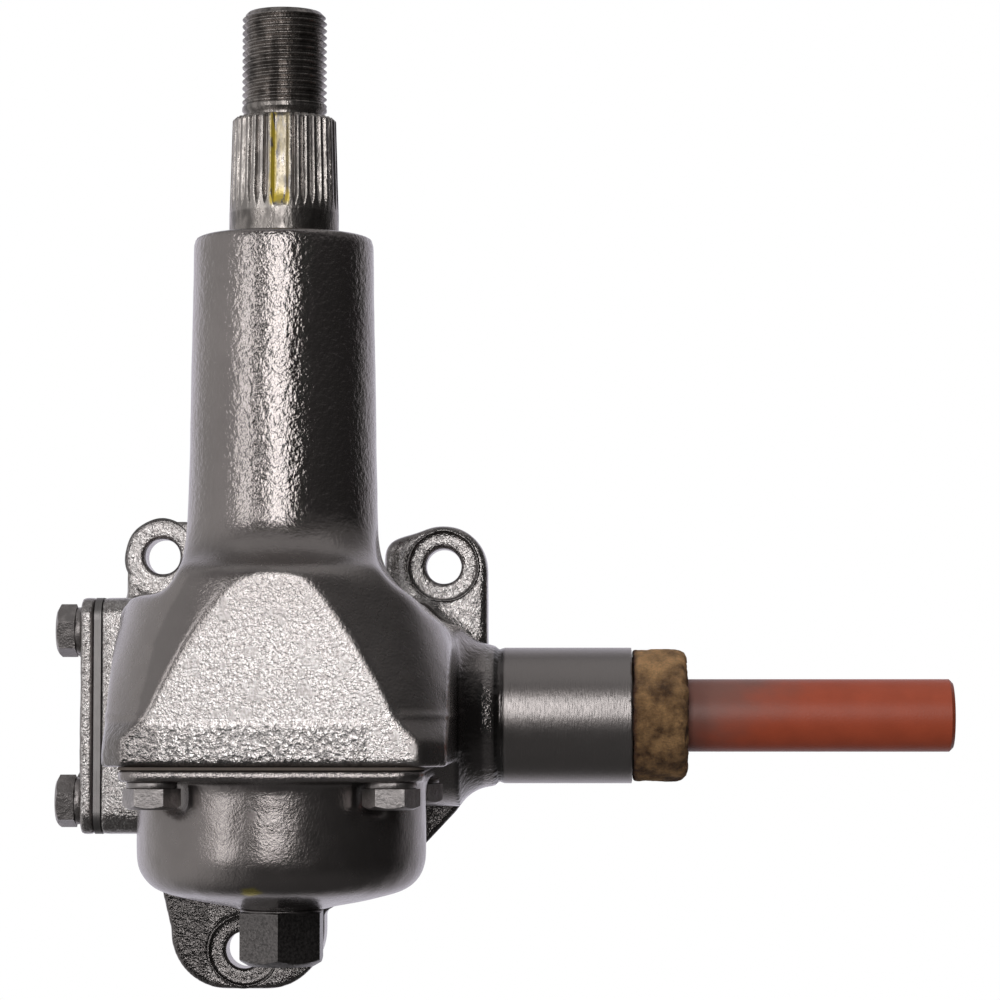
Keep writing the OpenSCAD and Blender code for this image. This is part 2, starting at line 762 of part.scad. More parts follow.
module end_cover() {
    stub_room = bearing_at + cup_back_l + 0.2;
    color("dimgray") at_worm() difference() {
        union() {
            translate([0, 0, -cover_outer]) end_plate(end_cover_t);
            translate([0, 0, -cover_outer - end_boss_h])
                cylinder(r1 = end_boss_r / 2, r2 = end_boss_r, h = end_boss_h + eps);
            translate([0, 0, -cover_inner - eps])
                cylinder(r = tunnel_bore_r - seat_fit, h = cover_inner - pilot_reach);
        }
        translate([0, 0, -bearing_at - cup_back_l]) cylinder(r = cup_r + seat_fit, h = bearing_at);
        translate([0, 0, -stub_room - 1]) cylinder(r = cup_lip_r, h = stub_room);
        for (p = end_bolts)
            translate([p[0], p[1], -cover_outer - 1]) cylinder(d = bolt_d + bolt_play, h = end_cover_t + 2);
    }
}

module end_cover_shims() {
    sheet_t = shim_t - seat_fit;
    color("tan") at_worm() for (i = [0, 1])
        translate([0, 0, -cover_inner + i * shim_t + seat_fit / 2]) difference() {
            end_plate(sheet_t);
            translate([0, 0, -eps]) cylinder(r = tunnel_bore_r + 0.2, h = shim_t + eps);
            for (p = end_bolts)
                translate([p[0], p[1], -eps]) cylinder(d = bolt_d + bolt_play, h = shim_t + eps);
        }
}

module end_cover_bolts() {
    turn = 12;
    color("darkgray") at_worm() for (p = end_bolts)
        translate([p[0], p[1], -cover_outer - washer_t]) mirror([0, 0, 1]) rotate(turn)
            hex_bolt(washer_t + end_cover_t + 2 * shim_t + end_bolt_grip);
}

module end_cover_lockwashers() {
    color("darkgray") at_worm() for (p = end_bolts)
        translate([p[0], p[1], -cover_outer - washer_t]) split_washer();
}

// Worm bearings; each is made for the shaft side and mirrored to the cover side

module bearing_cup() {
    difference() {
        union() {
            translate([0, 0, bearing_at - cup_front_l]) ring(cup_r, cup_mouth_r, cup_front_l + cup_step);
            translate([0, 0, bearing_at + cup_step]) ring(cup_r, cup_lip_r, cup_back_l - cup_step);
        }
        translate([0, 0, bearing_at]) rotate_extrude() translate([bearing_circle_r, 0]) circle(race_r);
    }
}

module bearing_ball_set(r) {
    for (i = [0:bearing_balls_n - 1])
        rotate(i * 360 / bearing_balls_n) translate([bearing_circle_r, 0, bearing_at]) sphere(r);
}

module bearing_cage() {
    difference() {
        translate([0, 0, bearing_at - cup_front_l]) ring(cage_r + cage_t, cage_r, cup_front_l + 1);
        bearing_ball_set(ball_r + 0.08);
    }
}

module upper_bearing_cup() {
    color("lightsteelblue") at_worm() bearing_cup();
}

module upper_bearing_balls() {
    color("silver") at_worm() bearing_ball_set(ball_r);
}

module upper_bearing_cage() {
    color("khaki") at_worm() bearing_cage();
}

module lower_bearing_cup() {
    color("lightsteelblue") at_worm() mirror([0, 0, 1]) bearing_cup();
}

module lower_bearing_balls() {
    color("silver") at_worm() mirror([0, 0, 1]) bearing_ball_set(ball_r);
}

module lower_bearing_cage() {
    color("khaki") at_worm() mirror([0, 0, 1]) bearing_cage();
}

// Ball track: a helical groove on a round bar, or with out = 1 the matching ridge that cuts the nut

// Radius of the bar at an axial distance from the middle of the groove
function track_profile(bar_r, off, out) =
    abs(off) >= track_r ? bar_r :
    let (reach = sqrt(track_r * track_r - off * off))
    out > 0 ? max(bar_r, ball_circle_r + reach) : min(bar_r, ball_circle_r - reach);

// Axial distance from the nearest turn of the groove
function turn_offset(z, a) =
    let (t = (z - worm_lead * a / 360) / worm_lead) (t - round(t)) * worm_lead;

module track_bar(bar_r, half_l, out) {
    steps = ceil(2 * half_l / worm_lead * track_sides);
    points = [
        for (i = [0:steps], k = [0:track_sides - 1])
            let (z = -half_l + 2 * half_l * i / steps, a = 360 * k / track_sides,
                 r = track_profile(bar_r, turn_offset(z, a), out))
            [r * cos(a), r * sin(a), z]
    ];
    n = track_sides;
    faces = concat(
        [[for (k = [0:n - 1]) k]],
        [[for (k = [n - 1:-1:0]) steps * n + k]],
        [for (i = [0:steps - 1], k = [0:n - 1])
            let (p = i * n + k, q = i * n + (k + 1) % n)
            each [[p, q + n, q], [p, p + n, q + n]]]
    );
    polyhedron(points, faces);
}

module worm_shaft() {
    shoulder = bearing_at - 1;
    stub_r = shaft_bore_d / 2 - seat_fit;
    color("slategray") at_worm() {
        track_bar(worm_r, track_half_l, 0);
        difference() {
            union() {
                for (s = [0, 1]) mirror([0, 0, s])
                    translate([0, 0, track_half_l - 1]) cylinder(r = collar_r, h = shoulder - track_half_l + 1);
                translate([0, 0, shoulder - eps]) cylinder(r = journal_r + 1, h = shaft_start - shoulder + eps);
                translate([0, 0, -bearing_at - 4]) cylinder(r = journal_r, h = 5);
                translate([0, 0, shaft_start - eps]) cylinder(r = stub_r, h = stub_l + eps);
            }
            for (s = [-1, 1])
                translate([0, 0, s * bearing_at]) rotate_extrude()
                    translate([bearing_circle_r, 0]) circle(race_r);
        }
    }
}

module steering_shaft() {
    chamfer = 1;
    shaft_r = shaft_d / 2;
    color("firebrick") at_worm() difference() {
        union() {
            translate([0, 0, shaft_start]) cylinder(r = shaft_r - felt_seat, h = felt_end - shaft_start + eps);
            translate([0, 0, felt_end]) cylinder(r = shaft_r, h = shaft_end - felt_end - chamfer);
            translate([0, 0, shaft_end - chamfer]) cylinder(r1 = shaft_r, r2 = shaft_r - chamfer, h = chamfer);
        }
        translate([0, 0, shaft_start - eps]) cylinder(d = shaft_bore_d, h = shaft_end - shaft_start + 1);
    }
}

// Ball nut with its rack, modelled along the worm axis with the rack towards the sector

// Outline of the rack seen along the sector axis: X along the worm, Y away from the sector axis
module rack_outline() {
    tip_y = rack_pitch_y - tooth_module;
    slope = tan(pressure_angle);
    half_space = tooth_pitch / 4;
    mouth = half_space + tooth_module * slope;
    bottom = half_space - dedendum * slope;
    difference() {
        translate([-nut_half_l, tip_y]) square([2 * nut_half_l, center_distance - tip_y]);
        for (k = [-1, 0, 1])
            translate([k * tooth_pitch, 0]) polygon([
                [-mouth - slope, tip_y - 1], [mouth + slope, tip_y - 1],
                [bottom, rack_pitch_y + dedendum], [-bottom, rack_pitch_y + dedendum]
            ]);
    }
}

module ball_nut() {
    color("gray") difference() {
        union() {
            at_worm() translate([0, 0, -nut_half_l]) cylinder(r = nut_r, h = 2 * nut_half_l);
            at_sector() translate([0, 0, -face_half_w]) linear_extrude(2 * face_half_w) rack_outline();
        }
        at_worm() track_bar(nut_bore_r, nut_half_l + 1, 1);
        translate([-nut_half_l - 1, worm_y + guide_flat, -guide_r - 5])
            cube([2 * nut_half_l + 2, nut_r, 2 * guide_r + 10]);
        translate([0, worm_y + guide_flat - clamp_screw_grip - 0.1, 0])
            rotate([-90, 0, 0]) cylinder(r = clamp_screw_r + seat_fit, h = 5);
    }
}

module nut_balls() {
    circuit_start = 1.1;
    spacing = (ball_d + 0.5) / ball_circle_r * 180 / PI;
    color("silver") at_worm() for (s = [-1, 1], i = [0:circuit_balls - 1]) {
        a = s * (circuit_start * 180 + i * spacing);
        rotate(a) translate([ball_circle_r, 0, worm_lead * a / 360]) sphere(ball_r);
    }
}

module guide_tube() {
    rotate([0, 90, 0]) cylinder(r = guide_r, h = guide_l);
}

// The guides lie on the nut's flat, one each side of the clamp screw
module ball_return_guides() {
    half = guide_r + 1;
    color("lightgray") translate([0, worm_y, 0]) intersection() {
        union() for (s = [0, 1])
            mirror([s, 0, 0]) translate([guide_half_gap, guide_at, 0]) guide_tube();
        translate([-nut_half_l, guide_flat + guide_lift, -half]) cube([2 * nut_half_l, 2 * guide_r, 2 * half]);
    }
}

module guide_clamp() {
    post = 2.6;
    color("darkgray") translate([0, worm_y, 0]) difference() {
        union() {
            translate([-clamp_half_l, clamp_at, -clamp_half_w]) cube([2 * clamp_half_l, clamp_t, 2 * clamp_half_w]);
            translate([-post, guide_flat, -clamp_half_w]) cube([2 * post, clamp_at - guide_flat + eps, 2 * clamp_half_w]);
        }
        translate([0, guide_flat - 1, 0]) rotate([-90, 0, 0]) cylinder(r = clamp_screw_r + room / 2, h = 8);
    }
}

module guide_clamp_screw() {
    head_r = 2.5;
    head_h = 0.9;
    shank = clamp_at - guide_flat + clamp_t + clamp_screw_grip + seat_fit;
    color("silver") translate([0, worm_y + guide_flat - clamp_screw_grip, 0]) rotate([-90, 0, 0]) {
        cylinder(r = clamp_screw_r, h = shank + head_h);
        translate([0, 0, shank]) cylinder(r = head_r, h = head_h);
    }
}

module felt_seal() {
    edge = 2.5;
    felt_r = felt_d / 2;
    inner = shaft_d / 2 - felt_seat + felt_play;
    color("saddlebrown") at_worm() translate([0, 0, spigot_end]) rotate_extrude()
        polygon(concat(
            [[inner, 0], [felt_r, 0]],
            arc([felt_r - edge, felt_l - edge], edge, 0, 90, 5),
            [[inner, felt_l]]
        ));
}

housing();
upper_sector_bushing();
lower_sector_bushing();
sector_shaft_seal();
sector_shaft();
lash_adjuster_screw();
adjuster_shim();
adjuster_cap_nut();
adjuster_washer();
side_cover();
side_cover_bushing();
side_cover_gasket();
side_cover_bolts();
side_cover_lockwashers();
end_cover();
end_cover_shims();
end_cover_bolts();
end_cover_lockwashers();
lower_bearing_cup();
lower_bearing_balls();
lower_bearing_cage();
upper_bearing_cup();
upper_bearing_balls();
upper_bearing_cage();
worm_shaft();
steering_shaft();
ball_nut();
nut_balls();
ball_return_guides();
guide_clamp();
guide_clamp_screw();
felt_seal();
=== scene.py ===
"""Looks of a steering gearbox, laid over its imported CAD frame."""

import json
import math

import bmesh
import bpy
import numpy as np
from bpy.props import FloatProperty, FloatVectorProperty, IntProperty, PointerProperty
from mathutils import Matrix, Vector, noise


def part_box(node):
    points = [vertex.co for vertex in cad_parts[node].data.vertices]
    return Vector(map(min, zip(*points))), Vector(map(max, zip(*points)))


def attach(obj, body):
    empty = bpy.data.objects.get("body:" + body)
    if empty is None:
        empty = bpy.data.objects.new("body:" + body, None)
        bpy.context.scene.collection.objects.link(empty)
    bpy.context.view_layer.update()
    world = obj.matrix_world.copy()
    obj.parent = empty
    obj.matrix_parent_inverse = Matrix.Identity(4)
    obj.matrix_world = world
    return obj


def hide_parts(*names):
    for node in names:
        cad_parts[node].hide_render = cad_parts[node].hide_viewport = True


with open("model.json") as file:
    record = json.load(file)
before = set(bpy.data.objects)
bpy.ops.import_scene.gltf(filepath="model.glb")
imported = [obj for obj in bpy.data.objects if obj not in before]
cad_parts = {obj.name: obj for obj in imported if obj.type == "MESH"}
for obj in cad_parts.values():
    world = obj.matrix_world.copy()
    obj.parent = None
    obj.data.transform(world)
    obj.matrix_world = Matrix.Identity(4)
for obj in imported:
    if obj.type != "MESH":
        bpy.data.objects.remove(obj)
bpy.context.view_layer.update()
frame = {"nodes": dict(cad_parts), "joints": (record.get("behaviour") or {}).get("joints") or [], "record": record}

bl_info = {
    "name": "Steering gearbox",
    "version": (1, 0, 0),
    "blender": (4, 5, 0),
    "location": "3D View > Sidebar > Gearbox",
    "description": "Dresses a steering gear in cast paint, oiled steel, primer and felt",
    "category": "Object",
}

MM = 0.001
JOINTS = {joint["name"]: joint for joint in frame["joints"]}
MOUNTS = {mount["name"]: mount for mount in frame["record"]["mounts"]}


def mount_radius(name):
    """Radius of a round mount."""
    return MOUNTS[name]["dims"]["r_mm"] * MM


def mount_start(name, axis):
    """Lower end of a round mount along one axis."""
    return MOUNTS[name]["pos_m"][axis] - MOUNTS[name]["dims"]["length_mm"] / 2 * MM


def half_size(node, axis):
    """Half a CAD node's size along one axis."""
    low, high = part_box(node)
    return (high[axis] - low[axis]) / 2


SECTOR_Y = JOINTS["sector_swing"]["pos_m"][1]
WORM_Y = JOINTS["steering_shaft_spin"]["pos_m"][1]
FRAME_HOLES = {side: MOUNTS["frame_hole_" + side]["pos_m"] for side in ("left", "right", "low")}
SPIGOT_START = mount_start("column_spigot", 0)
SPIGOT_R = mount_radius("column_spigot")
NECK_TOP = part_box("housing")[1].z
NECK_BORE_R = half_size("upper_sector_bushing", 0)
THREAD_LOW = mount_start("arm_thread", 2)
SERRATION_LOW = NECK_TOP + 6 * MM
SERRATION_HIGH = THREAD_LOW - 2 * MM

# Zones of the cast skins: depth of a machined face, of the mounting plate, and what smoothing wears off
FACE_ZONE = 0.7 * MM
PLATE_ZONE = 16 * MM
SMOOTHING_LOSS = 0.12 * MM


# Sizes and colours that a user would change

class CastingProps(bpy.types.PropertyGroup):
    """Cast housing and covers under dark metallic paint"""

    voxel: FloatProperty(
        name="Voxel", description="Cell size of the cast skin", default=0.85 * MM, unit="LENGTH", precision=5)
    cover_voxel: FloatProperty(
        name="Cover voxel", description="Cell size of the covers' skin", default=0.7 * MM, unit="LENGTH",
        precision=5)
    fillet_rounds: IntProperty(
        name="Fillet rounds", description="Smoothing passes that turn cast corners into fillets", default=26)
    waviness: FloatProperty(
        name="Waviness", description="Depth of the slow waves in the cast skin", default=0.14 * MM,
        unit="LENGTH", precision=5)
    parting_ridge: FloatProperty(
        name="Parting ridge", description="Height of the mould's parting line", default=0.3 * MM,
        unit="LENGTH", precision=5)
    paint: FloatVectorProperty(
        name="Paint", description="Dark metallic paint", default=(0.295, 0.265, 0.256), subtype="COLOR")
    # Paint shade is the darker paint of the random mottle, and also the colour of painted shade in pits and in the
    # shaded zones
    paint_shade: FloatVectorProperty(
        name="Paint shade", description="Paint where it lies thick", default=(0.20, 0.18, 0.174),
        subtype="COLOR")
    gloss: FloatProperty(name="Gloss", description="Roughness of the paint", default=0.30, subtype="FACTOR")
    # Grain glint is the colour of painted glints: a painted highlight speckled over the real grain of the front
    # faces, which face the key light
    grain_glint: FloatVectorProperty(
        name="Bright grain", description="Thin paint on the grainy front faces",
        default=(0.425, 0.402, 0.393), subtype="COLOR")
    turned_steel: FloatVectorProperty(
        name="Turned spigot", description="Paint over the turned spigot", default=(0.275, 0.25, 0.243),
        subtype="COLOR")
    paint_dab: FloatVectorProperty(
        name="Inspection dab", description="Smear of yellow marking paint", default=(0.50, 0.42, 0.08),
        subtype="COLOR")


class ShaftEndProps(bpy.types.PropertyGroup):
    """Thread and serrations at the arm end of the sector shaft"""

    thread_pitch: FloatProperty(
        name="Thread pitch", description="Rise of the arm thread in one turn", default=25.4 / 14 * MM,
        unit="LENGTH", precision=5)
    thread_depth: FloatProperty(
        name="Thread depth", description="Depth of the thread's groove", default=0.95 * MM, unit="LENGTH",
        precision=5)
    grooves: IntProperty(name="Grooves", description="Serration grooves around the shaft", default=37)
    gap: FloatProperty(
        name="Locating gap", description="Angle between the grooves beside the left-out tooth",
        default=math.radians(13), subtype="ANGLE")
    groove_depth: FloatProperty(
        name="Groove depth", description="Depth of a serration groove", default=1.0 * MM, unit="LENGTH",
        precision=5)
    run_out: FloatProperty(
        name="Run-out", description="Length over which a groove fades out", default=4.5 * MM, unit="LENGTH",
        precision=5)
    marker: FloatVectorProperty(
        name="Marker", description="Yellow paint where a tooth is left out", default=(0.62, 0.46, 0.035),
        subtype="COLOR")
    worn_steel: FloatVectorProperty(
        name="Worn steel", description="Steel rubbed bright on the serrations", default=(0.50, 0.465, 0.44),
        subtype="COLOR")
    steel: FloatVectorProperty(
        name="Oiled steel", description="Bare steel under dark oil", default=(0.27, 0.245, 0.23),
        subtype="COLOR")


class FinishProps(bpy.types.PropertyGroup):
    """Finishes of the remaining pieces"""

    primer: FloatVectorProperty(
        name="Primer", description="Red oxide primer of the steering shaft", default=(0.56, 0.10, 0.042),
        subtype="COLOR")
    overspray: FloatVectorProperty(
        name="Overspray", description="Grey mist next to the felt", default=(0.21, 0.125, 0.105),
        subtype="COLOR")
    # The felt's two colours carry its oil mottle and also painted light from above: lighter at the top, darker
    # lower down
    felt_light: FloatVectorProperty(
        name="Felt, dry", description="Dry felt", default=(0.84, 0.48, 0.21), subtype="COLOR")
    felt_dark: FloatVectorProperty(
        name="Felt, oily", description="Oil-soaked felt", default=(0.115, 0.055, 0.022), subtype="COLOR")
    # Dark rust at the felt's edge against the spigot, together with painted shade in the gap between them
    felt_edge_rust_and_shade: FloatVectorProperty(
        name="Felt, edge", description="Rust-stained edge at the spigot", default=(0.085, 0.026, 0.010),
        subtype="COLOR")
    fastener: FloatVectorProperty(
        name="Fasteners", description="Paint on bolts and nuts", default=(0.24, 0.22, 0.215), subtype="COLOR")
    bronze: FloatVectorProperty(
        name="Bronze", description="Bushing bronze", default=(0.55, 0.33, 0.14), subtype="COLOR")
    bearing_steel: FloatVectorProperty(
        name="Bearing steel", description="Bearings and balls", default=(0.62, 0.61, 0.60), subtype="COLOR")
    shim_steel: FloatVectorProperty(
        name="Shim steel", description="Shims of the end cover", default=(0.26, 0.245, 0.24), subtype="COLOR")
    gasket: FloatVectorProperty(
        name="Gasket", description="Gasket paper", default=(0.15, 0.12, 0.10), subtype="COLOR")
    rubber: FloatVectorProperty(
        name="Rubber", description="Seal rubber", default=(0.02, 0.02, 0.02), subtype="COLOR")


class StageProps(bpy.types.PropertyGroup):
    """Floor, light and camera"""

    lens: FloatProperty(name="Lens", description="Focal length", default=124.74, unit="CAMERA")
    eye: FloatVectorProperty(
        name="Eye", description="Place of the camera", default=(0.076, -0.986, 0.0043), subtype="XYZ")
    look: FloatVectorProperty(
        name="Look", description="Turn of the camera", subtype="EULER",
        default=(math.radians(93.3), 0.0, math.radians(1.24)))
    floor_drop: FloatProperty(
        name="Floor drop", description="Floor below the worm axis", default=0.85, unit="LENGTH")
    floor_size: FloatProperty(
        name="Floor size", description="Radius of the floor", default=8.6, unit="LENGTH")
    floor_colour: FloatVectorProperty(
        name="Floor colour", description="Pale floor", default=(0.86, 0.86, 0.86), subtype="COLOR")


# Shader maths

class Signal:
    """A socket of a node tree; arithmetic on it adds Math nodes."""

    def __init__(self, tree, socket):
        self.tree = tree
        self.socket = socket

    def node(self, kind, settings=None, inputs=None, output=0):
        """Adds a node, sets it up, feeds its sockets and gives back one of its outputs."""
        made = self.tree.nodes.new(kind)
        for name, value in (settings or {}).items():
            setattr(made, name, value)
        for key, value in (inputs or {}).items():
            if isinstance(value, Signal):
                self.tree.links.new(value.socket, made.inputs[key])
            else:
                made.inputs[key].default_value = value
        return Signal(self.tree, made.outputs[output])

    def math(self, operation, left, right):
        """A Math node on two values."""
        return self.node("ShaderNodeMath", {"operation": operation}, {0: left, 1: right})

    def __add__(self, other):
        return self.math("ADD", self, other)

    def __radd__(self, other):
        return self.math("ADD", other, self)

    def __sub__(self, other):
        return self.math("SUBTRACT", self, other)

    def __rsub__(self, other):
        return self.math("SUBTRACT", other, self)

    def __mul__(self, other):
        return self.math("MULTIPLY", self, other)

    def __rmul__(self, other):
        return self.math("MULTIPLY", other, self)

    def most(self, other):
        """The larger of two values."""
        return self.math("MAXIMUM", self, other)

    def step(self, low, high):
        """0 below low, 1 above high, smooth between."""
        return self.node(
            "ShaderNodeMapRange", {"interpolation_type": "SMOOTHSTEP"},
            {"Value": self, "From Min": low, "From Max": high})

    def blend(self, low, high):
        """A colour from low to high as this value goes from 0 to 1."""
        low, high = [value if isinstance(value, Signal) else (*value, 1) for value in (low, high)]
        return self.node("ShaderNodeMix", {"data_type": "RGBA"}, {0: self, 6: low, 7: high}, output=2)

    def noise(self, scale, detail=2.0, roughness=0.5, distortion=0.0):
        """Noise over this place, centred on 0.5."""
        settings = {"Scale": scale, "Detail": detail, "Roughness": roughness, "Distortion": distortion}
        return self.node("ShaderNodeTexNoise", {}, {"Vector": self, **settings})

    def stretch(self, x, y, z):
        """This place with its three axes scaled."""
        return self.node("ShaderNodeVectorMath", {"operation": "MULTIPLY"}, {0: self, 1: (x, y, z)})

    def axis(self, index):
        """One coordinate of this place."""
        return self.node("ShaderNodeSeparateXYZ", {}, {0: self}, output=index)

    def attribute(self, name):
        """A value kept on the mesh's points."""
        return self.node("ShaderNodeAttribute", {"attribute_name": name}, output="Fac")

    def bump(self, height, distance):
        """A normal tilted by a height that runs from 0 to 1 over a distance."""
        return self.node("ShaderNodeBump", {}, {"Height": height, "Distance": distance})


def socket_name(key):
    """A shader socket's name from a keyword."""
    return key.replace("_", " ").title().replace("Ior", "IOR")


class Finish:
    """A material with its place signal and its shader's sockets."""

    def __init__(self, name, **constants):
        self.material = bpy.data.materials.new(name)
        self.material.use_nodes = True
        tree = self.material.node_tree
        self.shader = tree.nodes["Principled BSDF"]
        for key, value in constants.items():
            self.shader.inputs[socket_name(key)].default_value = value
        self.place = Signal(tree, tree.nodes.new("ShaderNodeTexCoord").outputs["Object"])

    def feed(self, **signals):
        """Links signals to the shader's sockets and gives back the material."""
        for key, signal in signals.items():
            signal.tree.links.new(signal.socket, self.shader.inputs[socket_name(key)])
        return self.material


def tone(colour, share):
    """A colour made darker, or lighter as far as white."""
    return [min(1.0, channel * share) for channel in colour]


def cast_paint_finish(props):
    """Dark metallic paint over grainy iron, with a turned spigot and a dab of marking paint; painted glints and
    painted shade in the pits speckle the front faces, and painted shade darkens the shaded zones and the groove at
    the spigot's root.
    """
    finish = Finish("cast_paint", coat_weight=0.25, coat_roughness=0.12, metallic=0.88)
    place = finish.place
    grain = place.attribute("grain")
    pitted = place.attribute("pitted")
    # bright: where painted glints, a painted highlight, speckle the grain of the front faces
    bright = place.attribute("bright")
    # Painted shade in the groove at the spigot's root, a band about 2.5 mm wide, laid over the painted shade of
    # the shaded zones
    past_root = place.axis(0).step(SPIGOT_START + 2.2 * MM, SPIGOT_START + 2.9 * MM)
    root = place.axis(0).step(SPIGOT_START - 0.5 * MM, SPIGOT_START) * (1 - past_root)
    thick = place.attribute("thick").most(root * 0.9)
    turned = place.attribute("turned")
    dab = place.attribute("dab")
    fine = place.noise(1650, 2.0, 0.6)
    medium = place.noise(660, 2.0)
    coarse = place.noise(230, 3.0)
    broad = place.noise(38, 2.0)
    # Glints: speckled painted highlight on the grain
    glints = place.stretch(1, 1, 0.5).noise(1700, 3.0, 0.7).step(0.36, 0.62)
    rings = place.stretch(1, 0.13, 0.13).noise(3400, 1.0)
    colour = (broad * 0.6 + coarse * 0.4).blend(props.paint_shade, props.paint)
    colour = (bright * (0.12 + glints * 0.88)).blend(colour, props.grain_glint)
    # Pit shade: painted shade in the pits between the glints
    pit_shade = pitted * bright * (1 - medium.step(0.40, 0.56)) * 0.75
    colour = pit_shade.blend(colour, tone(props.paint_shade, 0.4))
    colour = turned.blend(colour, props.turned_steel)
    # Painted shade: darker paint over the shaded zones, whose paint is also glossier
    colour = thick.blend(colour, tone(props.paint_shade, 0.3))
    colour = dab.blend(colour, props.paint_dab)
    gloss = props.gloss + (coarse - 0.5) * 0.10 - grain * 0.05 - pitted * 0.15 - thick * 0.12 + turned * 0.06
    skin = grain * (fine * 0.5 + medium * 0.2) + pitted * (medium + fine * 0.08) + coarse * 0.12 + fine * 0.06
    height = skin * (1 - turned) + turned * (rings * 0.2 + fine * 0.06)
    return finish.feed(base_color=colour, roughness=gloss, normal=place.bump(height, 0.36 * MM))


def fastener_finish(props, cap_nut_top):
    """Painted bolts, worn to steel in spots, and a darker cap nut."""
    finish = Finish("fastener", coat_weight=0.2, coat_roughness=0.2, metallic=0.9)
    place = finish.place
    patches = place.noise(300, 4.0).step(0.45, 0.7)
    scuffs = place.noise(1500, 3.0, 0.65)
    lumps = place.noise(420, 2.0)
    # Darker paint from the cap nut's top down
    darker_low = 1 - place.axis(2).step(cap_nut_top - 1 * MM, cap_nut_top + 2 * MM)
    dull = scuffs.step(0.3, 0.7).blend(tone(props.fastener, 0.28), tone(props.fastener, 0.62))
    painted = patches.blend(props.fastener, tone(props.fastener, 1.5))
    return finish.feed(
        base_color=darker_low.blend(painted, dull), roughness=0.28 + scuffs * 0.2,
        normal=place.bump(scuffs * 0.9 + lumps, 0.16 * MM))


def oiled_steel_finish(props):
    """Bare steel under dark oil, with yellow marking paint left in the grooves where a tooth is left out."""
    finish = Finish("oiled_steel", metallic=0.95)
    place = finish.place
    oil = place.stretch(1, 1, 0.4).noise(420, 4.0).step(0.38, 0.66)
    worn = place.attribute("worn")
    marked = place.attribute("marker") * place.stretch(1, 1, 0.25).noise(900, 3.0).step(0.36, 0.5)
    fine = place.noise(1900, 2.0)
    scratches = place.stretch(1, 1, 0.3).noise(1100, 2.0)
    steel = worn.blend(oil.blend(props.steel, tone(props.steel, 0.42)), props.worn_steel)
    return finish.feed(
        base_color=marked.blend(steel, props.marker), metallic=0.95 - marked * 0.75,
        roughness=0.20 + fine * 0.14 + oil * 0.08 + marked * 0.12,
        normal=place.bump(fine + scratches * 1.4, 0.07 * MM))


def red_primer_finish(props, start):
    """Satin red oxide primer with grey overspray next to the felt."""
    finish = Finish("red_primer", specular_ior_level=0.5)
    place = finish.place
    mottle = place.noise(160, 4.0)
    speck = place.noise(2400, 2.0)
    reach = place.axis(0) + (mottle - 0.5) * (14 * MM) - place.axis(2) * 1.2
    mist = 1 - reach.step(start - 2 * MM, start + 30 * MM)
    primer = mottle.blend(tone(props.primer, 0.72), props.primer)
    return finish.feed(
        base_color=(mist * 0.75).blend(primer, props.overspray),
        roughness=0.38 + speck * 0.14, normal=place.bump(speck, 0.06 * MM))


def felt_finish(props, start):
    """Brown wool felt, mottled with oil, lighter towards the top with painted light from above, and with rust and
    painted shade at its edge against the spigot.
    """
    finish = Finish("felt", sheen_weight=0.12, sheen_roughness=0.5, specular_ior_level=0.2, roughness=0.95)
    place = finish.place
    oil = place.noise(170, 4.0, 0.6).step(0.26, 0.74)
    fibre = place.stretch(1.0, 1.8, 1.8).noise(1500, 4.0, 0.75, 0.8)
    worn = place.noise(420, 4.0, 0.65).step(0.25, 0.75)
    # Painted light from above: the felt grows lighter towards the top
    lit_from_above = 0.29 + place.axis(2).step(3 * MM, 18 * MM) * 0.43
    shade = (lit_from_above + (oil - 0.5) * 0.75 + (worn - 0.5) * 0.3) * (0.2 + fibre * 1.6)
    # Rust and painted shade along the edge against the spigot
    edge = 1 - (place.axis(0) + worn * (0.8 * MM)).step(start + 0.4 * MM, start + 2.4 * MM)
    colour = edge.blend(shade.blend(props.felt_dark, props.felt_light), props.felt_edge_rust_and_shade)
    return finish.feed(base_color=colour, normal=place.bump(fibre, 0.9 * MM))


def plain_metal_finish(name, colour, roughness):
    """Clean machined metal of the inner works."""
    finish = Finish(name, metallic=1.0)
    place = finish.place
    stain = place.noise(350, 3.0)
    fine = place.noise(2600, 2.0)
    return finish.feed(
        base_color=stain.blend(tone(colour, 0.7), colour), roughness=roughness + fine * 0.12,
        normal=place.bump(fine, 0.03 * MM))


def soft_sheet_finish(name, colour, roughness):
    """Gasket paper or seal rubber."""
    finish = Finish(name)
    place = finish.place
    fleck = place.noise(900, 4.0)
    return finish.feed(
        base_color=fleck.blend(tone(colour, 0.5), colour), roughness=roughness + fleck * 0.15,
        normal=place.bump(fleck, 0.08 * MM))


def floor_finish(colour):
    """Matt pale floor, lifted a little so that it stays pale outside the panels' light."""
    finish = Finish("pale_floor", roughness=0.8, emission_color=(1.0, 1.0, 1.0, 1.0), emission_strength=0.5)
    cloud = finish.place.noise(0.8, 2.0)
    return finish.feed(base_color=cloud.blend(colour, tone(colour, 1.04)))


# Mesh helpers

def add_piece(name, mesh, body, slot):
    """Makes a smooth-shaded object that rides on a CAD body and takes its slot's finish."""
    piece = bpy.data.objects.new(name, mesh)
    bpy.context.scene.collection.objects.link(piece)
    mesh.materials.clear()
    mesh.materials.append(bpy.data.materials[slot])
    mesh.polygons.foreach_set("use_smooth", np.ones(len(mesh.polygons), bool))
    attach(piece, body)
    return piece


def coat_nodes(finish, *names):
    """Gives a finish to CAD nodes that are shown as they are."""
    for name in names:
        mesh = frame["nodes"][name].data
        mesh.materials.clear()
        mesh.materials.append(bpy.data.materials[finish])


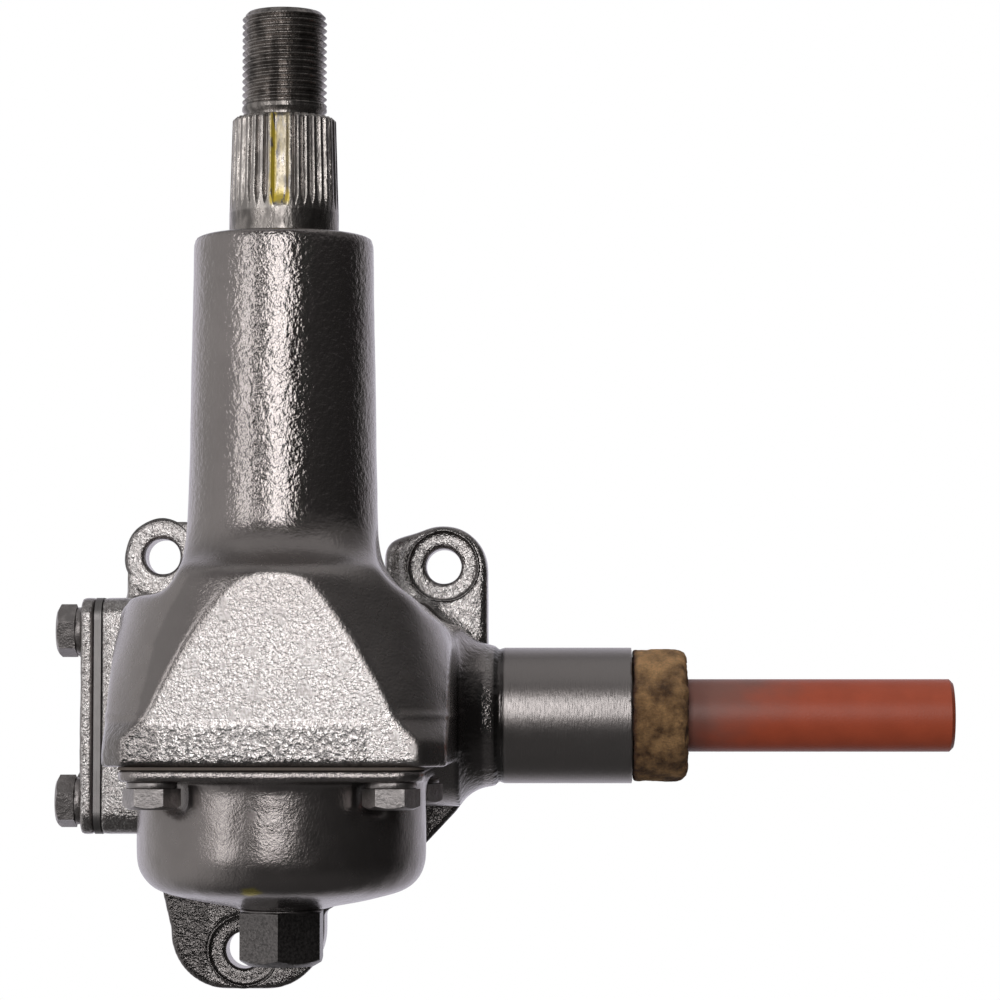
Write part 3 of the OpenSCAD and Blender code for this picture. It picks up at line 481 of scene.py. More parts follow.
def soften_edges(name, width):
    """Rounds a CAD node's sharp edges for show."""
    node = frame["nodes"][name]
    weld = node.modifiers.new("Weld", "WELD")
    weld.merge_threshold = 1e-6
    bevel = node.modifiers.new("Edge round", "BEVEL")
    bevel.width = width
    bevel.segments = 2
    bevel.limit_method = "ANGLE"
    bevel.angle_limit = math.radians(32)
    bevel.harden_normals = True


def read_points(mesh):
    """Places of a mesh's points, one row each."""
    places = np.empty(len(mesh.vertices) * 3)
    mesh.vertices.foreach_get("co", places)
    return places.reshape(-1, 3)


def read_normals(mesh):
    """Directions that a mesh's points face, one row each."""
    normals = np.empty(len(mesh.vertices) * 3)
    mesh.vertex_normals.foreach_get("vector", normals)
    return normals.reshape(-1, 3)


def write_points(mesh, points):
    """Moves a mesh's points."""
    mesh.vertices.foreach_set("co", points.ravel())
    mesh.update()


def store(mesh, name, values):
    """Keeps one value for each point, for the finishes to read."""
    mesh.attributes.new(name, "FLOAT", "POINT").data.foreach_set("value", values.astype(np.float32))


def mesh_edges(mesh):
    """The two points of each edge."""
    ends = np.empty(len(mesh.edges) * 2, np.int32)
    mesh.edges.foreach_get("vertices", ends)
    return ends.reshape(-1, 2)


def voxel_skin(node, voxel):
    """An even quad skin over a CAD node."""
    source = frame["nodes"][node]
    build = bmesh.new()
    build.from_mesh(source.data)
    bmesh.ops.remove_doubles(build, verts=build.verts, dist=1e-6)
    mesh = bpy.data.meshes.new(node + "_solid")
    build.to_mesh(mesh)
    build.free()
    scratch = bpy.data.objects.new(node + "_solid", mesh)
    bpy.context.scene.collection.objects.link(scratch)
    remesh = scratch.modifiers.new("Voxels", "REMESH")
    remesh.mode = "VOXEL"
    remesh.voxel_size = voxel
    shape = scratch.evaluated_get(bpy.context.evaluated_depsgraph_get())
    skin = bpy.data.meshes.new_from_object(shape)
    bpy.data.objects.remove(scratch)
    if not skin.vertices:
        raise RuntimeError(f"the skin of {node} came out empty")
    return skin


def relax(points, ends, weight, rounds):
    """Moves each point towards the mean of its neighbours by its own weight."""
    count = len(points)
    share = (weight / np.maximum(np.bincount(ends.ravel(), minlength=count), 1))[:, None]
    first, second = ends.T
    for _ in range(rounds):
        total = np.stack([
            np.bincount(first, points[second, k], count) + np.bincount(second, points[first, k], count)
            for k in range(3)], axis=1)
        points = points + share * total - weight[:, None] * points
    return points


def spread(values, ends, rounds):
    """Blurs a value over the mesh."""
    weight = np.full(len(values), 0.5)
    return relax(np.repeat(values[:, None], 3, axis=1), ends, weight, rounds)[:, 0]


def waves(points, size, seed):
    """Slow waves over a surface, from -1 to 1, one value for each point."""
    shift = Vector((seed * 7.3, seed * 3.1, seed * 5.7))
    return np.array([noise.noise(Vector(p) / size + shift) for p in points])


def cast_waves(points, depth, slow, quick, share, seed):
    """Waves of a cast skin: slow ones, with a share of quicker ones on top."""
    return depth * (waves(points, slow, seed) + share * waves(points, quick, seed + 1))


def overlay(base, *layers):
    """A base value with each zone's own value laid over it in turn."""
    for zone, value in layers:
        base = np.where(zone, value, base)
    return base


def swell(points, normals, still, relief, node):
    """Moves all but the still points out by a relief, within a CAD node's box."""
    low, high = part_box(node)
    moved = points + normals * np.where(still, 0, relief + SMOOTHING_LOSS)[:, None]
    return np.clip(moved, np.array(low), np.array(high))


def ramp(values, low, high):
    """0 below low, 1 above high, smooth between."""
    t = np.clip((values - low) / (high - low), 0, 1)
    return t * t * (3 - 2 * t)


def ring_mesh(name, radius, heights, angles, centre, closed_top):
    """A skin round a vertical axis: radius[i, k] at heights[i] and angles[k]."""
    rows, columns = radius.shape
    points = np.stack([
        centre[0] + radius * np.cos(angles)[None, :],
        centre[1] + radius * np.sin(angles)[None, :],
        np.repeat(heights[:, None], columns, axis=1)], axis=2).reshape(-1, 3)
    corner = np.arange(rows - 1)[:, None] * columns + np.arange(columns)[None, :]
    beside = np.arange(rows - 1)[:, None] * columns + (np.arange(columns)[None, :] + 1) % columns
    faces = np.stack([corner, beside, beside + columns, corner + columns], axis=2).reshape(-1, 4).tolist()
    if closed_top:
        faces.append([(rows - 1) * columns + k for k in range(columns)])
    mesh = bpy.data.meshes.new(name)
    mesh.from_pydata(points.tolist(), [], faces)
    mesh.update()
    return mesh


def lower_part(node, cut_z):
    """A CAD node's mesh below a level, welded."""
    build = bmesh.new()
    build.from_mesh(frame["nodes"][node].data)
    bmesh.ops.remove_doubles(build, verts=build.verts, dist=1e-6)
    everything = build.verts[:] + build.edges[:] + build.faces[:]
    bmesh.ops.bisect_plane(
        build, geom=everything, plane_co=(0, 0, cut_z), plane_no=(0, 0, 1), clear_outer=True)
    mesh = bpy.data.meshes.new(node + "_below")
    build.to_mesh(mesh)
    build.free()
    return mesh


# Shape and paint of the housing

def housing_cavity(points, normals):
    """Walls inside the housing, which have to stay clear of the ball nut and the sector."""
    half_length, half_height = 42 * MM, 30 * MM
    front, back = -105 * MM, -16.5 * MM
    rack_half_height, rack_front = 12 * MM, -70 * MM
    x, y, z = points.T
    across = x * normals[:, 0] + z * normals[:, 2]
    to_worm = (WORM_Y - y) * normals[:, 1] > across
    to_sector = (SECTOR_Y - y) * normals[:, 1] > across
    worm_side = y > (WORM_Y + SECTOR_Y) / 2 + 10 * MM
    rack_side = (np.abs(z) < rack_half_height) & (y > rack_front)
    inside = np.where(worm_side, to_worm, to_sector | to_worm & rack_side)
    return (np.abs(x) < half_length) & (np.abs(z) < half_height) & (y > front) & (y < back) & inside


def end_flange(points):
    """Flange of the worm tunnel that the end cover is bolted to."""
    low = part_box("housing")[0]
    return (points[:, 0] < low.x + 10.9 * MM) & (points[:, 1] > low.y + 60 * MM)


def round_housing(points, normals, ends, rounds):
    """Rounds the cast corners, and tells which points lie on the spigot and which stay crisp."""
    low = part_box("housing")[0]
    x, y, z = points.T
    from_sector = np.hypot(x, y - SECTOR_Y)
    from_worm = np.hypot(y - WORM_Y, z)
    on_spigot = (x > SPIGOT_START + 0.5 * MM) & (from_worm > SPIGOT_R - 1.5 * MM)
    bored = (from_sector < NECK_BORE_R + 0.6 * MM) & (z > 0) | (z > NECK_TOP - 1.6 * MM)
    at_back = y > -FACE_ZONE
    faced = at_back | (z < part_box("side_cover_gasket")[1].z + 2.6 * MM) | (x < low.x + FACE_ZONE)
    cavity = housing_cavity(points, normals)
    crisp = on_spigot | bored | faced | cavity
    near_front = y < low.y + 5 * MM
    first = overlay(0.35, (near_front, 0.16), (crisp, 0.04), (at_back, 0.3), (on_spigot, 0.12), (cavity, 0.0))
    weight = overlay(0.5, (y > -PLATE_ZONE, 0.28), (near_front, 0.14), (y < low.y + 1.6 * MM, 0.05))
    weight = overlay(
        weight, (x > SPIGOT_START - 12 * MM, np.minimum(weight, 0.2)), (end_flange(points), 0.1),
        (crisp, 0.015), (at_back, 0.1), (on_spigot, 0.05), (cavity, 0.0))
    points = relax(points, ends, first, 5)
    return relax(points, ends, spread(weight, ends, 3), rounds), on_spigot, crisp


def turn_spigot(points, on_spigot, from_worm):
    """Brings the spigot's points onto a true cylinder with a groove at its root."""
    x, y, z = points.T
    groove = 0.45 * MM * np.exp(-((x - SPIGOT_START - 1.3 * MM) / (0.6 * MM)) ** 2)
    reach = np.where(on_spigot, (SPIGOT_R - groove) / np.maximum(from_worm, 1e-6), 1.0)
    return np.stack([x, WORM_Y + (y - WORM_Y) * reach, z * reach], axis=1)


def housing_relief(points, normals, from_worm, props):
    """Slow waves of the cast skin, and the line where the mould parted."""
    x, _, z = points.T
    skin = cast_waves(points, props.waviness, 16 * MM, 5 * MM, 0.35, 1)
    ridge = props.parting_ridge * np.exp(-((z - 0.2 * MM) / (0.75 * MM)) ** 2)
    outside = from_worm > half_size("end_cover_shims", 2) * 0.4
    parted = (np.abs(normals[:, 1]) < 0.75) & outside & (x < SPIGOT_START - 8 * MM)
    return skin + np.where(parted, ridge, 0)


def bolt_seats(points):
    """Tells which points lie on the bolt seats of the lugs."""
    x, y, z = points.T
    seats = np.zeros(len(points), bool)
    for side, seat_r in (("left", 11.6 * MM), ("right", 9.6 * MM), ("low", 9.6 * MM)):
        hole = FRAME_HOLES[side]
        seats |= (np.hypot(x - hole[0], z - hole[2]) < seat_r) & (y > -PLATE_ZONE)
    return seats


def housing_paint(points, facing, from_worm, on_spigot, seats):
    """Grain, pits, painted glints and painted shade (on glossier paint) of the housing, one value of each for each
    point.
    """
    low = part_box("housing")[0]
    x, y, z = points.T
    from_hole = np.min([np.hypot(x - hole[0], z - hole[2]) for hole in FRAME_HOLES.values()], axis=0)

    front_top = 36.6 * MM - 3.5 * MM * ((x - 0.6 * MM) / (9.8 * MM)) ** 2
    front_half = 10.5 * MM + 0.64 * (33 * MM - z)
    in_outline = (np.abs(x - 0.4 * MM) < front_half) & (z < front_top)
    on_front = (facing > 0.8) & (y < low.y + 1.4 * MM) & in_outline
    low_band = (facing > 0.25) & (y < low.y + 16 * MM) & (z < -1.5 * MM) & (x < 24 * MM)
    band_left = low_band & (x < -28 * MM)
    front_edge = (facing > 0.7) & (y < low.y + 6 * MM) & ~on_front & ~low_band & (x < 0)
    on_lug = (y > -15 * MM) & (facing > 0.6) & ((z < 0) | (from_hole < 22 * MM))
    high_lug, low_lug = on_lug & (z > 0), on_lug & (z < 0)
    right_web = high_lug & (x > 0) & (x < FRAME_HOLES["right"][0] - 9 * MM)
    low_left = low_lug & (x < FRAME_HOLES["low"][0] - 10 * MM)
    on_boss = (x > SPIGOT_START - 11 * MM) & ~on_lug
    boss_rim = on_boss & (x > SPIGOT_START - 3.2 * MM) & (x < SPIGOT_START - 0.8 * MM)
    boss_side = on_boss & ~boss_rim & (x < SPIGOT_START) & (from_worm < 27 * MM) & (z < 12 * MM)
    back = (y > -1.5 * MM) & (facing < -0.5)

    neck = ramp(z, 36 * MM, 62 * MM)
    base = (0.46 - 0.18 * neck, 0.06 + 0.68 * neck, 0.0)
    # Zone, then its grain, pits and painted glints
    looks = (
        (on_boss, 0.5, 0.6, 0.0),
        (boss_rim, 0.9, 0.6, 0.4),
        (end_flange(points), 0.9, 0.25, 1.0),
        (on_front, 0.6, 0.05, 1.0),
        (low_band, 0.7, 0.7, 1.0),
        (high_lug, 0.9, 0.5, 0.95),
        (low_lug, 0.7, 0.6, 0.65),
        (seats & on_lug, 0.8, 0.4, 0.9),
        (on_spigot | back, 0.0, 0.0, 0.0))
    grain, pitted, bright = [
        overlay(start, *[(row[0], row[column]) for row in looks]) for column, start in enumerate(base, 1)]
    # Painted glints fade towards the top of the front face
    bright = bright * np.where(on_front, 1 - 0.55 * ramp(z, 12 * MM, 36 * MM), 1.0)
    # Painted shade, on paint that is also glossier: the low lug in the dome's shade, the left of the low lug, the
    # right web, a strip along the front edge, the left of the low band and the boss's underside
    thick = overlay(
        0.0, (low_lug, 0.25), (low_left, 0.8), (right_web, 0.6), (front_edge, 0.3), (band_left, 0.35),
        (boss_side, 0.7), (back, 0.0))
    # The left of the low band keeps fewer painted glints
    return {"grain": grain, "pitted": pitted, "bright": np.where(band_left, 0.3, bright), "thick": thick}


# Shape of the sector shaft's arm end

def serrations(props, foot):
    """Tapered serrations with one tooth left out at the front, from a foot inside the neck up."""
    bushing_wall, taper = 2.6 * MM, 0.75 * MM
    chamfer_length, chamfer_depth = 0.8 * MM, 0.7 * MM
    flank_slope = 1.25
    journal_r = NECK_BORE_R - bushing_wall
    columns = props.grooves * 16
    angles = np.arange(columns) / columns * 2 * math.pi - math.pi / 2
    turn = (angles + math.pi / 2) % (2 * math.pi)
    from_front = np.minimum(turn, 2 * math.pi - turn)
    pitch = (2 * math.pi - props.gap) / (props.grooves - 1)
    in_gap = (turn < props.gap / 2 - 1e-9) | (turn > 2 * math.pi - props.gap / 2 + 1e-9)
    from_groove = np.abs((turn - props.gap / 2 + pitch / 2) % pitch - pitch / 2)
    from_groove = np.where(in_gap, np.abs(from_front - props.gap / 2), from_groove)

    chamfer_low = SERRATION_HIGH - chamfer_length
    heights = np.concatenate([
        np.linspace(foot, SERRATION_LOW, 8), np.linspace(SERRATION_LOW, chamfer_low, 46)[1:],
        np.linspace(chamfer_low, SERRATION_HIGH, 5)[1:], np.full(1, SERRATION_HIGH)])
    along = (heights - SERRATION_LOW) / (SERRATION_HIGH - SERRATION_LOW)
    chamfer = chamfer_depth * ramp(heights, chamfer_low, SERRATION_HIGH)
    body = journal_r - taper * np.clip(along, 0, 1) - chamfer
    depth = props.groove_depth * ramp(heights, SERRATION_LOW, SERRATION_LOW + props.run_out)
    cut_in = np.maximum(depth[:, None] - from_groove[None, :] * journal_r * flank_slope, 0)
    cut_in = np.where(in_gap[None, :], depth[:, None], cut_in)
    radius = body[:, None] - cut_in
    radius[-1, :] = mount_radius("arm_thread") - 1.3 * MM
    mesh = ring_mesh("serrations", radius, heights, angles, (0.0, SECTOR_Y), False)

    aside = np.where(turn > math.pi, -from_front, from_front) / props.gap
    left_side = np.exp(-((aside + 0.62) / 0.2) ** 2)
    right_side = np.exp(-((aside - 0.7) / 0.12) ** 2)
    whole = ramp(along, 0.02, 0.1) * (heights < SERRATION_HIGH)
    pool = whole * (1 - ramp(along, 0.12, 0.3)) * np.exp(-((along - 0.1) / 0.12) ** 2)
    streaks = left_side + 0.2 * right_side + 0.12 * (np.abs(aside) < 0.6)
    marker = whole[:, None] * streaks[None, :] + 0.75 * pool[:, None] * (np.abs(aside) < 0.75)[None, :]
    worn = overlay(0.05, (along[:, None] > 0.02, 0.35), (cut_in > 0.35 * MM, 0.15))
    store(mesh, "marker", np.clip(marker, 0, 1).ravel())
    store(mesh, "worn", worn.ravel())
    return mesh


def arm_thread(props):
    """Thread for the arm's nut, with a neck below and a chamfer on top."""
    chamfer, relief, centre_r = 1.5 * MM, 0.75 * MM, 2.2 * MM
    rows_per_turn, columns = 14, 144
    thread_r = mount_radius("arm_thread")
    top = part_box("sector_shaft")[1].z
    angles = np.arange(columns) / columns * 2 * math.pi
    rows = int((top - THREAD_LOW) / props.thread_pitch * rows_per_turn)
    heights = np.concatenate([
        np.linspace(SERRATION_HIGH - 0.3 * MM, THREAD_LOW, 4), np.linspace(THREAD_LOW, top, rows)[1:],
        np.full(2, top)])
    phase = (heights[:, None] / props.thread_pitch - angles[None, :] / (2 * math.pi)) % 1
    groove = np.clip(1.12 - np.abs(phase - 0.5) * 2.3, 0, 1) * props.thread_depth
    run_in = ramp(heights, THREAD_LOW + 0.3 * MM, THREAD_LOW + 2.6 * MM)
    radius = thread_r - groove * run_in[:, None]
    radius = np.where((heights < THREAD_LOW)[:, None], thread_r - relief, radius)
    radius = np.minimum(radius, (thread_r - chamfer + np.maximum(top - heights, 0))[:, None])
    radius[-1, :] = centre_r
    return ring_mesh("arm_thread", radius, heights, angles, (0.0, SECTOR_Y), True)


# Operators, one for each piece or group of like pieces

class GEARBOX_OT_housing(bpy.types.Operator):
    """Cast housing with fillets, grain, parting line and turned spigot"""

    bl_idname = "gearbox.housing"
    bl_label = "Housing"

    def execute(self, context):
        props = context.scene.gearbox_casting
        seat_depth = 0.6 * MM
        skin = voxel_skin("housing", props.voxel)
        ends = mesh_edges(skin)
        points, on_spigot, crisp = round_housing(
            read_points(skin), read_normals(skin), ends, props.fillet_rounds)
        write_points(skin, points)

        normals = read_normals(skin)
        from_worm = np.hypot(points[:, 1] - WORM_Y, points[:, 2])
        points = turn_spigot(points, on_spigot, from_worm)
        relief = housing_relief(points, normals, from_worm, props)
        points = swell(points, normals, crisp, relief, "housing")
        facing = -normals[:, 1]
        seats = bolt_seats(points)
        points[:, 1] += np.where(seats & (facing > 0.3), seat_depth, 0.0)
        write_points(skin, points)

        for name, values in housing_paint(points, facing, from_worm, on_spigot, seats).items():
            store(skin, name, spread(values, ends, 1 if name == "thick" else 2))
        store(skin, "turned", spread(on_spigot.astype(float), ends, 1))
        piece = add_piece("housing_casting", skin, "gear_case", "cast_paint")
        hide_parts("housing")
        return {"FINISHED"}


class GEARBOX_OT_spot_faces(bpy.types.Operator):
    """Machined seats round the frame bolt holes"""

    bl_idname = "gearbox.spot_faces"
    bl_label = "Spot faces"

    def execute(self, context):
        for side, hole in FRAME_HOLES.items():
            lip = 0.0 if side == "left" else 0.9 * MM
            add_piece("spot_face_" + side, self.seat(side, hole, lip), "gear_case", "cast_paint")
        return {"FINISHED"}

    def seat(self, side, hole, lip):
        """A flat ring with a lip and an uneven rim, facing the front, with painted glints on it and painted shade
        along its rim.
        """
        columns = 96
        seat_r = 9.5 * MM
        hole_r = mount_radius("frame_hole_" + side)
        front = mount_start("frame_hole_" + side, 1)
        profile = np.array([
            (hole_r - 0.1 * MM, 2.5 * MM), (hole_r - 0.1 * MM, 0.8 * MM), (hole_r + 0.05 * MM, 0.6 * MM),
            (hole_r + 0.45 * MM, 0.08 * MM), (hole_r + 0.6 * MM, 0.0), (hole_r + 1.6 * MM, 0.0),
            (seat_r - 1.2 * MM, 0.0), (seat_r - 0.4 * MM, 0.0), (seat_r - 0.15 * MM, lip * -0.15),
            (seat_r, lip * -0.5), (seat_r + 0.15 * MM, lip * -0.85), (seat_r + 0.4 * MM, -lip),
            (seat_r + 0.8 * MM, 0.2 * MM - lip), (seat_r + 1.2 * MM, 0.9 * MM - lip)])
        angles = np.arange(columns) / columns * 2 * math.pi
        radius = np.repeat(profile[:, :1], columns, axis=1)
        uneven = 0.012 * np.sin(angles * 3 + hole[0] * 90)
        radius[-4:] *= 1 + uneven + 0.008 * np.sin(angles * 7 + hole[2] * 70)
        mesh = ring_mesh("spot_face_" + side, radius, -profile[:, 1], angles, (0.0, 0.0), False)
        x, y, z = read_points(mesh).T
        write_points(mesh, np.stack([hole[0] + x, front - z, hole[2] + y], axis=1))
        mesh.flip_normals()
        # Painted shade along the seat's rim
        rim = ramp(np.hypot(x, y), seat_r - 0.4 * MM, seat_r + 0.1 * MM)
        # The low seat lies in the dome's shade: fewer painted glints and painted shade all over
        oily = side == "low"
        store(mesh, "grain", np.full(len(x), 0.85))
        store(mesh, "pitted", np.full(len(x), 0.45))
        store(mesh, "bright", np.full(len(x), 0.5 if oily else 1.0))
        store(mesh, "thick", np.maximum(rim * 0.7, 0.3 if oily else 0.0))
        return mesh


class GEARBOX_OT_side_cover(bpy.types.Operator):
    """Domed side cover with its flange, bolt pockets and paint dab"""

    bl_idname = "gearbox.side_cover"
    bl_label = "Side cover"

    def execute(self, context):
        props = context.scene.gearbox_casting
        skin = voxel_skin("side_cover", props.cover_voxel)
        ends = mesh_edges(skin)
        points = read_points(skin)
        flange_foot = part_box("side_cover_lockwashers")[1].z
        faced = points[:, 2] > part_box("side_cover_gasket")[0].z - 0.6 * MM
        weight = overlay(0.5, (points[:, 2] > flange_foot - 0.8 * MM, 0.15), (faced, 0.05))
        points = relax(points, ends, np.full(len(points), 0.35), 4)
        points = relax(points, ends, spread(weight, ends, 2), props.fillet_rounds)
        write_points(skin, points)
        relief = cast_waves(points, props.waviness, 14 * MM, 4 * MM, 0.4, 4)
        points = swell(points, read_normals(skin), faced, relief, "side_cover")
        write_points(skin, points)

        x, y, z = points.T
        on_flange = z > flange_foot - 0.4 * MM
        dab_x, dab_z = -4.6 * MM, -43.6 * MM
        from_dab = np.hypot((x - dab_x) * 0.5, z - dab_z) + 0.5 * MM * waves(points, 1.6 * MM, 6)
        store(skin, "grain", spread(np.where(on_flange, 0.8, 0.28), ends, 2))
        store(skin, "pitted", np.where(on_flange, 0.3, 0.09))
        # Painted shade over the dome, whose paint is also glossier; none on the flange
        store(skin, "thick", np.where(on_flange, 0.0, 0.12))
        store(skin, "dab", (1 - ramp(from_dab, 0.6 * MM, 1.6 * MM)) * (y < SECTOR_Y) * 0.85)
        piece = add_piece("side_cover_casting", skin, "gear_case", "cast_paint")
        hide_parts("side_cover")
        return {"FINISHED"}


class GEARBOX_OT_end_cover(bpy.types.Operator):
    """End cover of the worm tunnel with its shims, and the side cover's gasket"""

    bl_idname = "gearbox.end_cover"
    bl_label = "End cover"

    def execute(self, context):
        props = context.scene.gearbox_casting
        skin = voxel_skin("end_cover", props.cover_voxel)
        ends = mesh_edges(skin)
        points = read_points(skin)
        faced = points[:, 0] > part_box("end_cover_shims")[0].x - 0.5 * MM
        points = relax(points, ends, np.full(len(points), 0.25), 3)
        points = relax(points, ends, spread(np.where(faced, 0.05, 0.25), ends, 2), 5)
        write_points(skin, points)
        normals = read_normals(skin)
        relief = cast_waves(points, props.waviness, 9 * MM, 3 * MM, 0.5, 8)
        write_points(skin, swell(points, normals, faced, relief, "end_cover"))

        outer = normals[:, 0] < -0.75
        # Grain, pits and painted glints: one value on the edges, one on the outer face, none on the faced end
        for name, edge, face in (("grain", 0.95, 0.6), ("pitted", 0.35, 0.3), ("bright", 1.0, 0.3)):
            store(skin, name, spread(overlay(edge, (outer, face), (faced, 0.0)), ends, 2))
        piece = add_piece("end_cover_casting", skin, "gear_case", "cast_paint")
        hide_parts("end_cover")
        coat_nodes("shim_steel", "end_cover_shims")
        coat_nodes("gasket", "side_cover_gasket")
        return {"FINISHED"}


class GEARBOX_OT_fasteners(bpy.types.Operator):
    """Bolts, lock washers and the cap nut"""

    bl_idname = "gearbox.fasteners"
    bl_label = "Fasteners"

    def execute(self, context):
        names = (
            "side_cover_bolts", "end_cover_bolts", "adjuster_cap_nut", "adjuster_washer",
            "side_cover_lockwashers", "end_cover_lockwashers")
        coat_nodes("fastener", *names)
        for name in names:
            soften_edges(name, 0.3 * MM)
        return {"FINISHED"}


class GEARBOX_OT_shaft_end(bpy.types.Operator):
    """Sector shaft with its arm thread, tapered serrations and marker paint"""

    bl_idname = "gearbox.shaft_end"
    bl_label = "Sector shaft"

    def execute(self, context):
        props = context.scene.gearbox_shaft_end
        cut = NECK_TOP - 4 * MM
        teeth = lower_part("sector_shaft", cut)
        below = add_piece("sector_shaft_teeth", teeth, "sector_shaft", "oiled_steel")
        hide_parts("sector_shaft")
        add_piece("sector_shaft_serrations", serrations(props, cut), "sector_shaft", "oiled_steel")
        add_piece("sector_shaft_thread", arm_thread(props), "sector_shaft", "oiled_steel")
        return {"FINISHED"}


class GEARBOX_OT_steering_shaft(bpy.types.Operator):
    """Primed steering shaft"""

    bl_idname = "gearbox.steering_shaft"
    bl_label = "Steering shaft"

    def execute(self, context):
        coat_nodes("red_primer", "steering_shaft")
        return {"FINISHED"}


class GEARBOX_OT_felt_ring(bpy.types.Operator):
    """Felt ring between spigot and steering shaft"""

    bl_idname = "gearbox.felt_ring"
    bl_label = "Felt ring"

    def execute(self, context):
        voxel, bore_r, tear_depth = 0.55 * MM, 12 * MM, 1.6 * MM
        skin = voxel_skin("felt_seal", voxel)
        ends = mesh_edges(skin)
        points = relax(read_points(skin), ends, np.full(len(skin.vertices), 0.5), 10)
        write_points(skin, points)
        normals = read_normals(skin)
        low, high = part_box("felt_seal")
        bore = np.hypot(points[:, 1] - WORM_Y, points[:, 2]) < bore_r
        move = 0.5 * MM * waves(points, 6 * MM, 11) + 0.2 * MM * waves(points, 1.6 * MM, 12) - 0.1 * MM
        points = points + normals * np.where(bore, 0, move)[:, None]
        torn = np.maximum(waves(points, 3.2 * MM, 13) + 0.1, 0) * ramp(points[:, 0], high.x - 3 * MM, high.x)
        points[:, 0] -= tear_depth * torn
        write_points(skin, np.clip(points, np.array(low), np.array(high)))
        piece = add_piece("felt_ring", skin, "gear_case", "felt")
        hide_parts("felt_seal")
        return {"FINISHED"}


class GEARBOX_OT_inner_works(bpy.types.Operator):
    """Bushings, bearings, worm, ball nut and adjuster inside the housing"""

    bl_idname = "gearbox.inner_works"
    bl_label = "Inner works"

    def execute(self, context):
        dressed = {
            "bronze": ("upper_sector_bushing", "lower_sector_bushing", "side_cover_bushing"),
            "seal_rubber": ("sector_shaft_seal",),
            "bearing_steel": (
                "lower_bearing_cup", "lower_bearing_balls", "lower_bearing_cage", "upper_bearing_cup",
                "upper_bearing_balls", "upper_bearing_cage", "nut_balls", "ball_return_guides", "guide_clamp",
                "guide_clamp_screw"),
            "oiled_steel": ("worm_shaft", "ball_nut", "lash_adjuster_screw", "adjuster_shim"),
        }
        for finish, names in dressed.items():
            coat_nodes(finish, *names)
        return {"FINISHED"}


class GEARBOX_OT_finishes(bpy.types.Operator):
    """Materials of all the pieces"""

    bl_idname = "gearbox.finishes"
    bl_label = "Finishes"

    def execute(self, context):
        finishes = context.scene.gearbox_finishes
        for old in list(bpy.data.materials):
            old.name = "cad_" + old.name
        cast_paint_finish(context.scene.gearbox_casting)
        fastener_finish(finishes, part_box("adjuster_cap_nut")[1].z)
        oiled_steel_finish(context.scene.gearbox_shaft_end)
        red_primer_finish(finishes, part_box("felt_seal")[1].x)
        felt_finish(finishes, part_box("felt_seal")[0].x)
        plain_metal_finish("bronze", finishes.bronze, 0.3)
        plain_metal_finish("bearing_steel", finishes.bearing_steel, 0.16)
        plain_metal_finish("shim_steel", finishes.shim_steel, 0.40)
        soft_sheet_finish("gasket", finishes.gasket, 0.7)
        soft_sheet_finish("seal_rubber", finishes.rubber, 0.55)
        return {"FINISHED"}


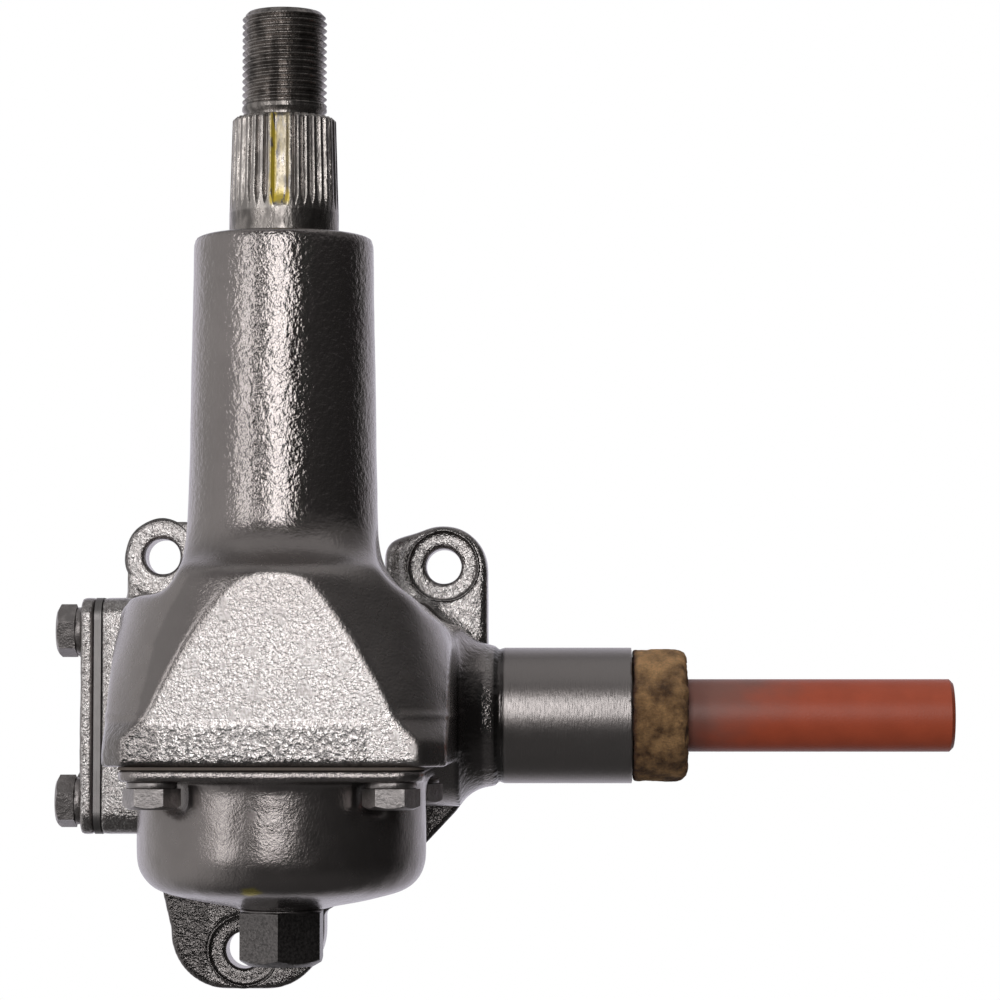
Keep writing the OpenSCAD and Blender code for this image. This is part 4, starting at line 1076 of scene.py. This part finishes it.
class GEARBOX_OT_stage(bpy.types.Operator):
    """Pale floor, soft studio light and the camera"""

    bl_idname = "gearbox.stage"
    bl_label = "Stage"

    def execute(self, context):
        props = context.scene.gearbox_stage
        self.floor(props)
        self.studio_air(context.scene)
        self.panel("key_panel", (-0.05, -1.35, 0.34), (0.02, SECTOR_Y, 0.03), (0.48, 0.86), 6.8)
        self.panel("left_panel", (-0.95, -1.15, 0.30), (0.0, SECTOR_Y, 0.05), (0.34, 1.1), 4)
        self.panel("top_panel", (0.1, -0.2, 1.5), (0.05, -0.06, 0.0), (1.8, 1.5), 2.9)
        lens = bpy.data.cameras.new("photo_camera")
        lens.lens = props.lens
        lens.sensor_width = 36
        lens.clip_start = 0.01
        camera = bpy.data.objects.new("photo_camera", lens)
        camera.location = props.eye
        camera.rotation_euler = props.look
        context.scene.collection.objects.link(camera)
        context.scene.camera = camera
        context.scene.view_settings.view_transform = "Standard"
        return {"FINISHED"}

    def floor(self, props):
        """A round floor far below, kept out of bounces and reflections."""
        build = bmesh.new()
        bmesh.ops.create_circle(build, cap_ends=True, segments=96, radius=props.floor_size)
        mesh = bpy.data.meshes.new("floor")
        build.to_mesh(mesh)
        build.free()
        mesh.materials.append(floor_finish(props.floor_colour))
        floor = bpy.data.objects.new("floor", mesh)
        floor.location.z = -props.floor_drop
        floor.visible_diffuse = False
        floor.visible_glossy = False
        bpy.context.scene.collection.objects.link(floor)

    def studio_air(self, scene):
        """White room for the eye; light from the left and from behind, darkness on the right."""
        world = bpy.data.worlds.new("studio_air")
        world.use_nodes = True
        scene.world = world
        tree = world.node_tree
        way = Signal(tree, tree.nodes.new("ShaderNodeTexCoord").outputs["Generated"])
        left = (way.axis(0) * -1.0).step(0.25, 0.95)
        behind = way.axis(1).step(0.34, 0.96)
        above = way.axis(2).step(0.45, 0.9)
        below = (way.axis(2) * -1.0).step(0.2, 0.9)
        high_right = way.axis(0).step(0.3, 0.9) * way.axis(2).step(0.22, 0.6)
        level = 0.012 + left * 0.66 + behind * 0.85 + above * 0.12 + below * 0.065 + high_right * 0.14
        seen = way.node("ShaderNodeLightPath", output="Is Camera Ray")
        sky = tree.nodes["Background"]
        tint = (behind * (1 - seen)).blend((1, 1, 1), (0.93, 0.90, 1.0))
        tree.links.new(tint.socket, sky.inputs["Color"])
        tree.links.new((level * (1 - seen) + seen).socket, sky.inputs["Strength"])

    def panel(self, name, place, target, size, power):
        """A soft light panel that looks at a target."""
        light = bpy.data.lights.new(name, "AREA")
        light.shape = "RECTANGLE"
        light.size, light.size_y = size
        light.energy = power
        lamp = bpy.data.objects.new(name, light)
        lamp.location = place
        lamp.rotation_euler = (Vector(target) - Vector(place)).to_track_quat("-Z", "Y").to_euler()
        bpy.context.scene.collection.objects.link(lamp)


OPERATORS = (
    GEARBOX_OT_finishes, GEARBOX_OT_stage, GEARBOX_OT_housing, GEARBOX_OT_spot_faces, GEARBOX_OT_side_cover,
    GEARBOX_OT_end_cover, GEARBOX_OT_fasteners, GEARBOX_OT_shaft_end, GEARBOX_OT_steering_shaft,
    GEARBOX_OT_felt_ring, GEARBOX_OT_inner_works)


class GEARBOX_PT_looks(bpy.types.Panel):
    """Lists the gearbox operators"""

    bl_idname = "GEARBOX_PT_looks"
    bl_label = "Steering gearbox"
    bl_space_type = "VIEW_3D"
    bl_region_type = "UI"
    bl_category = "Gearbox"

    def draw(self, context):
        for operator in OPERATORS:
            self.layout.operator(operator.bl_idname)


GROUPS = {
    "gearbox_casting": CastingProps, "gearbox_shaft_end": ShaftEndProps, "gearbox_finishes": FinishProps,
    "gearbox_stage": StageProps}
CLASSES = (*GROUPS.values(), *OPERATORS, GEARBOX_PT_looks)


def register():
    """Adds the classes and the scene's settings."""
    for kind in CLASSES:
        bpy.utils.register_class(kind)
    for name, kind in GROUPS.items():
        setattr(bpy.types.Scene, name, PointerProperty(type=kind))


def unregister():
    """Takes them away again."""
    for name in GROUPS:
        delattr(bpy.types.Scene, name)
    for kind in reversed(CLASSES):
        bpy.utils.unregister_class(kind)


def main():
    register()
    bpy.ops.gearbox.finishes()
    bpy.ops.gearbox.stage()
    bpy.ops.gearbox.housing()
    bpy.ops.gearbox.spot_faces()
    bpy.ops.gearbox.side_cover()
    bpy.ops.gearbox.end_cover()
    bpy.ops.gearbox.fasteners()
    bpy.ops.gearbox.shaft_end()
    bpy.ops.gearbox.steering_shaft()
    bpy.ops.gearbox.felt_ring()
    bpy.ops.gearbox.inner_works()


if __name__ == "__main__":
    main()
